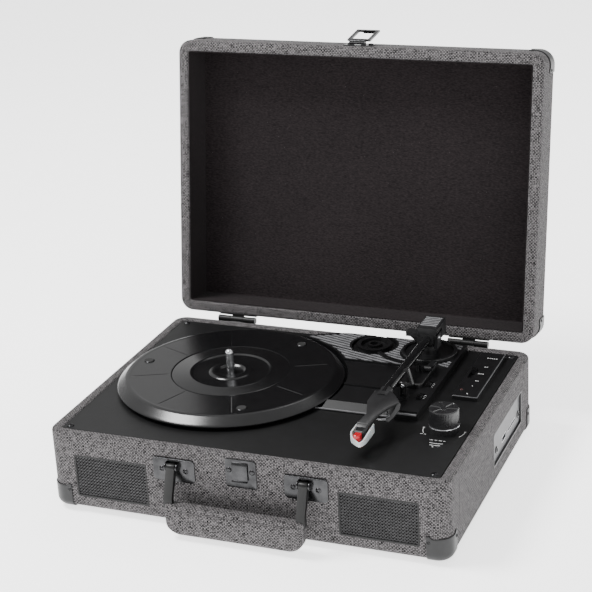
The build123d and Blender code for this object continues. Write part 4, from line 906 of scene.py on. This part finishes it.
def grip_shape():
    """Rings along x. The lower corners are rounded by 14, the upper by 3 and the ends by 4 mm:
    each edge moves in by radius (1 - sqrt(1 - (1 - d / radius)^2)) at a distance d from the
    end. A section is |cos t|^0.55 across and |sin t|^0.38 up, 3% thinner at the middle."""
    half_length = (grip_high[0] - grip_low[0]) / 2
    thick = (grip_high[1] - grip_low[1]) / 2
    ease = 0.14 * (1 - np.cos(np.linspace(0, np.pi / 2, 12)))
    share = np.concatenate([ease - 1, np.linspace(-0.84, 0.84, 40), 1 - ease[::-1]])
    x = share * half_length

    def rounding(radius):
        """How far an edge moves in at each x, for a corner of this radius."""
        near = 1 - np.clip((half_length - np.abs(x)) / radius, 0, 1)
        return radius * (1 - np.sqrt(1 - near ** 2))

    low = grip_low[2] + 0.1 + rounding(14)
    high = grip_high[2] - 0.2 - rounding(3)
    depth = thick * (1 - rounding(4) / 4) * (1 - 0.03 * np.cos(share * np.pi))
    t = np.linspace(0, 2 * np.pi, GRIP_SIDES, endpoint=False)
    side = np.sign(np.cos(t)) * np.abs(np.cos(t)) ** 0.55
    rise = np.sign(np.sin(t)) * np.abs(np.sin(t)) ** 0.38
    y = grip_middle[1] + depth[:, None] * side[None] * (1 - 0.1 * np.clip(rise, 0, 1)[None] ** 3)
    z = ((high + low) / 2)[:, None] + ((high - low) / 2)[:, None] * rise[None]
    points = np.stack([np.broadcast_to(x[:, None], y.shape), y, z], -1)
    ring = points[len(x) // 2]
    around = np.concatenate([[0], np.cumsum(np.linalg.norm(np.roll(ring, -1, 0) - ring, axis=1))])
    uv = np.stack(np.broadcast_arrays(x[:, None], around[None, :]), -1) * MM
    points, faces, corners = grid_shape(points, wrap_columns=True, uv=uv)
    faces += [list(range(GRIP_SIDES))[::-1], list(range(len(points) - GRIP_SIDES, len(points)))]
    return points, faces, np.concatenate([corners, np.zeros((2 * GRIP_SIDES, 2))])


grip = make_piece("padded_grip", [grip_shape()], linen, "handle", ("handle_grip",),
                  crease=80)
seam_line = np.column_stack([np.linspace(-50, 50, 60), np.full(60, grip_low[1] + 0.25),
                             np.full(60, grip_high[2] - 4.0)])
make_piece("grip_seam", [sweep_shape(seam_line, circle_section(0.4, 8))], linen, "handle")
print("grip", (grip_high - grip_low).round(1), "mm")

# %% [markdown]
# Each strap is one flat outline with an eye at its top that turns on the bracket's pin. The
# bracket stays on the case: a pressed plate with a lip along its top, and two ears that
# hold the pin.

# %% Straps and brackets
_, pin_y, pin_z = np.array(JOINTS["handle_swing"]["pos_m"]) / MM
EYE, STRAP = 3.4, 2.0
strap_y, strap_low, strap_high = grip_middle[1], grip_high[2] - 5, grip_high[2] + 4
strap = plate_shape(np.vstack([[(strap_y + STRAP, strap_low), (strap_y + STRAP, strap_high)],
                               arc((pin_y, pin_z), EYE, -20, 200, 10),
                               [(strap_y - STRAP, strap_high), (strap_y - STRAP, strap_low)]]), -4, 4, 0.7)
bracket_plate = plate_shape(rounded_rectangle(37.5, bracket_high[2] - bracket_low[2], 3.5), 0.3, 1.5, 0.3)
ear = plate_shape(np.vstack([[(FRONT - 0.9, pin_z - 5), (FRONT - 0.9, pin_z + EYE)],
                             arc((pin_y + 0.4, pin_z), EYE, 90, 270, 10)]), 0, 1.5, 0.3)
strap_shapes, bracket_shapes = [], []
for x in (-BRACKET_X, BRACKET_X):
    lip = [(x + dx, FRONT - 1.2, bracket_high[2] - 0.8) for dx in (-17.5, 0, 17.5)]
    pin = [(x + dx, pin_y, pin_z) for dx in (-6.3, 0, 6.3)]
    strap_shapes.append(placed(strap, (x, 0, 0), *ON_RIGHT))
    bracket_shapes += [placed(bracket_plate, (x, FRONT, screw_z), *ON_FRONT),
                       sweep_shape(lip, rounded_rectangle(2.4, 1.2, 0.4, 3)),
                       placed(ear, (x - 5.8, 0, 0), *ON_RIGHT), placed(ear, (x + 4.3, 0, 0), *ON_RIGHT),
                       sweep_shape(pin, circle_section(1.6, 16))]
make_piece("handle_straps", strap_shapes, strap_vinyl, "handle", ("handle_arms",))
make_piece("pressed_brackets", bracket_shapes, gunmetal, "root", ("handle_brackets",))
print(len(bracket_shapes), "bracket shapes; pin at", round(pin_y, 2), round(pin_z, 2))

# %% [markdown]
# The keeper is a pressed plate with a raised tongue, curled at the bottom, that the hasp's
# loop drops over. Its bent strip is a thin section carried down the front.

# %% Keeper
keeper_top, tongue_low = keeper_high[2], keeper_high[2] - 19
keeper_z = (keeper_low[2] + keeper_top) / 2
keeper_plate = plate_shape(rounded_rectangle(27, keeper_top - keeper_low[2], 2.5), 0.3, 1.5, 0.3)
bend = np.array([(1.2, keeper_top - 2.6), (2.6, keeper_top - 3.0), (3.3, keeper_top - 4.4),
                 (3.2, keeper_top - 10), (3.1, tongue_low + 3.0), (3.6, tongue_low + 1.2),
                 (4.9, tongue_low + 0.8)])
tongue_line = np.column_stack([np.full(len(bend), keeper_x), FRONT - bend[:, 0], bend[:, 1]])
tongue = sweep_shape(tongue_line, rounded_rectangle(13.5, 1.2, 0.35, 3), up=(0, -1, 0.3))
make_piece("pressed_keeper", [placed(keeper_plate, (keeper_x, FRONT, keeper_z), *ON_FRONT), tongue], gunmetal,
           "root", ("latch_keeper",))
print("keeper at", keeper_x.round(1))

# %% [markdown]
# The headshell is drawn finer than the frame's: a flat wedge with a bevelled edge, a nose
# that bends down to the cartridge, and a finger lift from the same moulding. Three thin
# leads loop from the arm to the cartridge.

# %% Headshell and leads
turret_low, turret_high = mm_box("tonearm_turret")
PIVOT = (turret_low + turret_high)[:2] / 2
ARM_Z = JOINTS["tonearm_lift"]["pos_m"][2] / MM
stylus_low, stylus_high = mm_box("stylus")
NEEDLE = np.array([(stylus_low[0] + stylus_high[0]) / 2, stylus_low[1] + 9, stylus_low[2]])
shell_top, shell_back = ARM_Z + 2.5, NEEDLE[1] + 72
outline = np.array([(PIVOT[0] - 8.5, shell_back - 4), (PIVOT[0] - 8, shell_back - 24),
                    (NEEDLE[0] - 3.5, shell_back - 47), (NEEDLE[0] - 5, NEEDLE[1] + 6),
                    (NEEDLE[0] + 5, NEEDLE[1] + 6), (NEEDLE[0] + 6.5, shell_back - 46),
                    (PIVOT[0] + 13, shell_back - 32), (PIVOT[0] + 18, shell_back - 21),
                    (PIVOT[0] + 16.5, shell_back - 16), (PIVOT[0] + 6, shell_back - 2)])
shell = prism_shape(outline, [(shell_top - 3, 0.5), (shell_top - 2.6, 0), (shell_top - 1.1, 0),
                              (shell_top - 0.5, 0.45), (shell_top, 1.3)])
nose_path = [(NEEDLE[0], NEEDLE[1] + behind, shell_top - drop)
             for behind, drop in ((9, 1.8), (5, 3), (3.5, 4.6))]
socket_path = [(PIVOT[0], shell_back + behind, ARM_Z - drop)
               for behind, drop in ((-12, 0.8), (-4, 0.6), (2.5, 0.4))]
finger_path = [(PIVOT[0] + out, shell_back - ahead, shell_top - drop)
               for out, ahead, drop in ((15, 19, 1.6), (18, 22, 2.2), (18.6, 27, 4.2), (17.2, 36, 6.6),
                                        (15, 44, 7.8))]
shell_shapes = [shell, sweep_shape(nose_path, rounded_rectangle(9.4, 3, 1, 4)),
                sweep_shape(socket_path, rounded_rectangle(10.5, 8.4, 3.5, 5)),
                sweep_shape(finger_path, rounded_rectangle(4.0, 1.4, 0.5, 4))]
make_piece("head_shell", shell_shapes, abs_headshell, "tonearm", ("headshell",))
wire_shapes = []
for k, drop in enumerate((0.0, 0.9, -0.7)):
    s = np.linspace(0, 1, 14)
    path = np.column_stack([PIVOT[0] + 8 + 5 * np.sin(np.pi * s) + 0.8 * k, shell_back - 28 - 20 * s,
                            shell_top - 4.6 - 2.5 * np.sin(np.pi * s) + 0.5 * drop])
    wire_shapes.append(sweep_shape(path, circle_section(0.35, 8)))
make_piece("cartridge_leads", wire_shapes, bright_steel, "tonearm")
print("needle at", NEEDLE.round(1))

# %% [markdown]
# The guard is a small milky cup that slides off the front of the red stylus. The cartridge
# and the stylus are short prisms with bevelled edges under the headshell's nose.

# %% Stylus guard and cartridge


def guard_cup():
    """The stylus guard: a cup open at the top and back. Its outline comes to a point at the
    front right, and its rim drops 3.6 mm towards the point. Rings of points run up the inside
    to the rim and down the outside, a wall of about 1.2 mm apart."""
    low, high = mm_box("stylus_guard")
    front, back = low[1], high[1]
    half, middle = (high[0] - low[0]) / 2, (high[0] + low[0]) / 2
    outline = np.array([(-half, back), (-half, front + 12), (-half + 0.6, front + 9.5),
                        (-half + 2.4, front + 6.6), (1.5, front + 1.4), (3.4, front), (5.2, front + 0.7),
                        (half - 0.5, front + 3.6), (half, front + 6.5), (half, back)])
    inner = np.array([(-half + 1.2, back), (-half + 1.2, front + 12), (-half + 1.9, front + 10),
                      (-half + 3.2, front + 8), (1.6, front + 3.2), (3.3, front + 2.1), (4.3, front + 2.5),
                      (half - 1.7, front + 4.6), (half - 1.2, front + 6.8), (half - 1.2, back)])
    dip = 3.6 * np.clip((front + 13 - outline[:, 1]) / 10, 0, 1)
    rows = []
    for ring, z, share in ((inner, low[2] + 0.8, 0), (inner, high[2] - 0.3, 1),
                           (inner * 0.5 + outline * 0.5, high[2], 1), (outline, high[2] - 0.3, 1),
                           (outline, low[2] + 1.4, 0), (outline * 0.97, low[2] + 0.4, 0),
                           (outline * 0.93, low[2], 0)):
        y = ring[:, 1]
        if ring is not inner and ring is not outline:
            y = np.maximum(y, front + 0.1 * (high[2] - z))
        y = np.where(outline[:, 1] == back, back, y)
        rows.append(np.column_stack([ring[:, 0] + middle, y, z - share * dip]))
    points, faces, uv = grid_shape(np.array(rows))
    count, total = len(outline), len(points)
    faces += [list(range(count)), list(range(total - count, total))[::-1]]
    faces += [[row * count + end for row in range(len(rows))] for end in (0, count - 1)]
    return points, faces, np.concatenate([uv, np.zeros((2 * count + 2 * len(rows), 2))])


make_piece("needle_guard", [guard_cup()], milky_guard, "needle_cover", ("stylus_guard",))
body = prism_shape(np.array([(-4.8, 21), (-4.8, 4), (-3.6, -4.2), (3.6, -4.2), (4.8, 4), (4.8, 21)])
                   + NEEDLE[:2],
                   [(NEEDLE[2] + up, inset) for up, inset in ((2.6, 0.6), (3.2, 0), (8.1, 0), (9, 1))])
make_piece("cartridge_body", [body], abs_satin, "tonearm", ("cartridge",))
tip = prism_shape(np.array([(-2.7, 3), (-2.7, -3.2), (-1.6, -4.2), (1.6, -4.2), (2.7, -3.2), (2.7, 3)])
                  + [NEEDLE[0], NEEDLE[1] - 6],
                  [(NEEDLE[2] + up, inset) for up, inset in ((2.2, 0.6), (3, 0), (7.4, 0), (8, 0.6))])
make_piece("stylus_body", [tip], red_tip, "tonearm")
print("stylus tip reaches y", tip[0][:, 1].min().round(1))

# %% [markdown]
# The counterweight has a ribbed grey pad on top and a plain plate on the face towards the
# arm. Small bright screws hold the arm's pivot and the clip of its rest.

# %% Counterweight and arm fittings
weight_low, weight_high = mm_box("counterweight")
middle_x = (weight_low[0] + weight_high[0]) / 2
pad_ribs = []
for y in weight_low[1] + 6 + 3.6 * np.arange(6):
    line = [(middle_x + dx, y, weight_high[2]) for dx in (-7.5, 0, 7.5)]
    pad_ribs.append(sweep_shape(line, rounded_rectangle(1.5, 1.2, 0.5, 3)))
make_piece("weight_pad_ribs", pad_ribs, ribbed_grey, "tonearm")
weight_face = placed(plate_shape(rounded_rectangle(17, 9.5, 1.5), 0, 0.8, 0.35),
                     (middle_x, weight_low[1] + 0.1, weight_high[2] - 5.2), *ON_FRONT)
make_piece("weight_face", [weight_face], abs_guard, "tonearm")
pivot_places = [((PIVOT[0] + way * 9.4, PIVOT[1], ARM_Z), (way, 0, 0), (0, 1, 0)) for way in (-1, 1)]
heads("arm_pivot_screws", pivot_places, 2.1, 0.9, bright_steel, "swivel")
heads("clip_screw", [((PIVOT[0] + 7.5, PIVOT[1] - 100.1, ARM_Z - 3), (0, -1, 0), (1, 0, 0))],
      1.6, 0.7, bright_steel, "root")
print(len(pad_ribs), "ribs on the weight")

# %% [markdown]
# The back of the deck is dressed with slanting ribs. Each is a low bar, cut to the part of
# its line that lies on the deck and clear of the platter, the adapter and the turret; the
# run of points inside the region is found by testing the whole line at once.

# %% Deck ribs
deck_low, deck_high = mm_box("deck_housing")
DECK_TOP = plate_top + 6.0
adapter_low, adapter_high = mm_box("adapter_45")
ADAPTER = (adapter_low + adapter_high)[:2] / 2
RIB_PITCH, RIB_SLANT, RIB_HALF = 4.3, np.radians(-17), 1.15
PLATTER_GAP, ADAPTER_CLEAR, TURRET_CLEAR = 4.5, 22.5, 26.5


def on_ribbed_deck(x, y):
    """True where ribs run: behind the recess, off the platter's clearance circle, outside the
    adapter's and the turret's rims, and away from the deck's edges."""
    off_platter = np.hypot(x - PLATTER[0], y - PLATTER[1]) > PLATTER_R + PLATTER_GAP
    off_adapter = np.hypot(x - ADAPTER[0], y - ADAPTER[1]) > ADAPTER_CLEAR
    off_turret = np.hypot(x - PIVOT[0], y - PIVOT[1]) > TURRET_CLEAR
    back = deck_high[1] - 2
    left = (x > 8 - 2.4 * (back - y)) | (y < back - 18)
    behind = np.where(x < PIVOT[0] - 6, y > 63.5, y > 66)
    clear_lift = (np.abs(x - PIVOT[0] - 5.5) > 12) | (y > PIVOT[1] - 24)
    within = (y < back) & (x < deck_high[0] - 3)
    return off_platter & off_adapter & off_turret & left & behind & clear_lift & within


def deck_ribs():
    """Ribs RIB_PITCH apart along the slanted normal. Each run of on-region samples of a middle
    line is a bar; its two long edges end where their own lines leave the region."""
    along = np.array([np.cos(RIB_SLANT), np.sin(RIB_SLANT)])
    across = np.array([-along[1], along[0]])
    s = np.linspace(-140, 140, 1121)

    def runs(offset):
        """The line at an offset along the normal, and the first and last index of each stretch
        of it that is on the deck, where inside changes between 0 and 1."""
        line = along * s[:, None] + across * offset + [60, 0]
        inside = on_ribbed_deck(line[:, 0], line[:, 1])
        change = np.flatnonzero(np.diff(np.concatenate([[0], inside.astype(int), [0]])))
        return line, change.reshape(-1, 2)

    shapes = []
    for offset in np.arange(-60, 160, RIB_PITCH):
        line, middle_runs = runs(offset)
        for first, last in middle_runs:
            if last - first < 14:
                continue
            edges = []
            for side in (-RIB_HALF, RIB_HALF):
                edge_line, edge_runs = runs(offset + side)
                shared = [np.minimum(last, b) - np.maximum(first, a) for a, b in edge_runs]
                if not shared or max(shared) < 4:
                    edges.append((line[first] + across * side, line[last - 1] + across * side))
                    continue
                a, b = edge_runs[int(np.argmax(shared))]
                edges.append((edge_line[a], edge_line[b - 1]))
            outline = [edges[0][0], edges[0][1], line[last - 1], edges[1][1], edges[1][0], line[first]]
            shapes.append(prism_shape(outline, [(DECK_TOP - 0.15, 0), (DECK_TOP + 0.45, 0)]))
    return shapes


rib_shapes = deck_ribs()
make_piece("deck_ribs", rib_shapes, ribbed_grey)
print(len(rib_shapes), "deck ribs")

# %% [markdown]
# The volume knob is turned in one piece: fine flutes round its side for the fingers, a
# dished top with shallow troughs that catch the light, and a flared foot. A thin bright
# ring is let in round the foot.

# %% Volume knob
knob_low, knob_high = mm_box("volume_knob")
KNOB = (knob_low + knob_high)[:2] / 2
KNOB_R, FLUTES = 12.45, 60


def knob_shape():
    """A turned knob: fine flutes round its side, r less 0.18 (1 - cos 60 t) / 2, and six
    shallow troughs pressed in its dished top between radii 2.9 and 11.2."""
    high, low = knob_high[2], knob_low[2]
    profile = [(0, high - 0.5), (2.5, high - 0.5), (3, high - 0.45), (5, high - 0.4), (7, high - 0.3),
               (9, high - 0.2), (11, high - 0.05), (11.6, high), (12.1, high - 0.2), (12.4, high - 0.7),
               (KNOB_R, high - 1.4), (KNOB_R, high - 6), (KNOB_R, low + 5), (12.2, low + 4.2),
               (12.2, low + 3.2), (13.2, low + 2.9), (13.8, low + 2.3), (14, low + 1.2), (14, low), (0, low)]
    points, faces, uv = lathe_shape(profile, 8 * FLUTES)
    r, angle = np.hypot(points[:, 0], points[:, 1]), np.arctan2(points[:, 1], points[:, 0])
    fluted = np.abs(r - KNOB_R) < 0.02
    points[:, :2] *= (1 - fluted * 0.18 * (1 - np.cos(FLUTES * angle)) / 2 / KNOB_R)[:, None]
    trough = np.abs(r * np.sin((angle + np.pi / 6) % (np.pi / 3) - np.pi / 6))
    pressed = (r > 2.9) & (r < 11.2) & (points[:, 2] > high - 1)
    points[:, 2] -= pressed * 0.45 * np.clip(1.6 - trough, 0, 1)
    points[:, :2] += KNOB
    return points, faces, uv


make_piece("fluted_knob", [knob_shape()], abs_knob, "knob", ("volume_knob",), crease=30)
knob_ring = lathe_shape([(12.3, 5.2), (12.9, 5.3), (13.05, 5.7), (12.9, 6.1), (12.3, 6.2)], 72)
make_piece("knob_ring", [placed(knob_ring, (*KNOB, plate_top))], bright_steel, "knob")
print("knob at", KNOB.round(1))

# %% [markdown]
# Thin raised lines finish the player: the frame round the side plate, a ring in each jack,
# and pale grey strips along the front of the deck, a painted highlight where light catches its
# bevelled edge. They are flat frames, turned rings and swept strips of about a millimetre.

# %% Trim
frame_ring = ring_plate(rounded_rectangle(side_length + 1, side_height + 1, 2.5),
                        rounded_rectangle(side_length - 1.4, side_height - 1.4, 1.6), -1.6, 0.45)
make_piece("side_plate_frame", [placed(frame_ring, side_centre, *ON_RIGHT)], abs_satin)
jack_ring = lathe_shape([(1.85, 0), (3.2, 0), (3.2, 0.5), (2.9, 0.8), (2.2, 0.8), (1.85, 0.5), (1.85, 0)], 40)
make_piece("jack_rings", [placed(jack_ring, (side_high[0], y, 32), *ON_RIGHT) for y in (15, 87)], abs_gloss)
deck_front = deck_low[1]
# pale grey strips on the black deck: a painted highlight on its front bevel and on the step at the right
bevel_path = [(x, deck_front - 0.2, plate_top + 1.2) for x in (14, 55, 98)]
block_path = [(x, deck_front - 0.15, DECK_TOP - 0.9) for x in (100, 109, 118)]
make_piece("deck_front_painted_highlight", [sweep_shape(bevel_path, rounded_rectangle(1.0, 1.4, 0.3, 3)),
                              sweep_shape(block_path, rounded_rectangle(0.8, 1.8, 0.3, 3))], ribbed_grey)
print("deck front at", deck_front.round(1))

# %% [markdown]
# Printed marks tell the knob and buttons apart. They are plain ticks, arcs and dots with no
# lettering: thin flat shapes a twentieth of a millimetre thick. Grey rods along two sides of
# the control panel paint the highlight that light makes on its edge.

# %% Printed marks
INK, KNOB_ARC = 0.05, 17.5


def tick(x, y, length, width, z, angle=0.0):
    """A printed bar at x, y, turned by angle in degrees."""
    turn = np.radians(angle)
    outline = np.array([(-1, -1), (1, -1), (1, 1), (-1, 1)]) * [length / 2, width / 2]
    spin = np.array([[np.cos(turn), np.sin(turn)], [-np.sin(turn), np.cos(turn)]])
    return prism_shape(outline @ spin + [x, y], [(z, 0), (z + INK, 0)])


def printed_arc(radius, start, end, width, z):
    """A printed band between two angles about the knob."""
    outline = np.vstack([arc(KNOB, radius + width / 2, start, end, 14),
                         arc(KNOB, radius - width / 2, end, start, 14)])
    return prism_shape(outline, [(z, 0), (z + INK, 0)])


def about_knob(angle):
    """The point of the knob's printed circle at an angle in degrees."""
    return KNOB + KNOB_ARC * np.array([np.cos(np.radians(angle)), np.sin(np.radians(angle))])


marks = [printed_arc(KNOB_ARC, 178, 212, 0.45, plate_top), printed_arc(KNOB_ARC, -30, 2, 0.45, plate_top)]
marks += [tick(*about_knob(end), 2.2, 0.45, plate_top, end + lean) for end in (178, 2) for lean in (50, 130)]
marks += [tick(KNOB[0] + dx, KNOB[1] - dy, length, 0.6, plate_top)
          for dx, dy, length in ((-5, 19.5, 3), (-1.2, 19.5, 2.4), (2.5, 19.5, 3), (6, 19.5, 1.6),
                                 (-16, 11, 2.4), (-13, 11, 1.8))]
marks += [printed_arc(25, 258, 284, 0.6, plate_top), printed_arc(28.5, 262, 280, 0.6, plate_top),
          tick(KNOB[0] - 0.5, KNOB[1] - 31, 1.2, 1.2, plate_top)]
panel_low, panel_high = mm_box("control_panel")
panel_x, panel_top = (panel_low[0] + panel_high[0]) / 2, panel_high[2]
for down, run in ((12, 9.5), (31, 4.5), (46, 7.5), (61, 4.5)):
    for k in range(int(run / 1.9)):
        marks.append(tick(panel_x + 2.5 - run / 2 + 1.9 * k + 0.8, panel_high[1] - down, 1.3,
                          1.1 - 0.25 * (k % 2), panel_top, 8 * (k % 3)))
marks += [tick(panel_x + 1, panel_high[1] - 72, 1.0, 1.0, panel_top),
          tick(panel_x + 1, panel_low[1] + 6, 1.0, 1.4, panel_top)]
marks += [tick(114.5, deck_front + back + dy, 1.6, 0.5, DECK_TOP) for back in (58, 34) for dy in (-3, 0, 3)]
make_piece("printed_marks", marks, white_ink)
# grey rods along the panel's front and right edges: a painted highlight
edge_z, edge_y = panel_top - 0.35, panel_low[1] + 0.3
edge_path = [(panel_high[0] - 0.3, panel_high[1] - 1, edge_z), (panel_high[0] - 0.3, edge_y, edge_z),
             (panel_low[0] + 1, edge_y, edge_z)]
edge_rods = [sweep_shape(edge_path[k:k + 2], circle_section(0.4, 8)) for k in (0, 1)]
make_piece("panel_edge_painted_highlight", edge_rods, lacquered_grey)
print(len(marks), "printed marks")
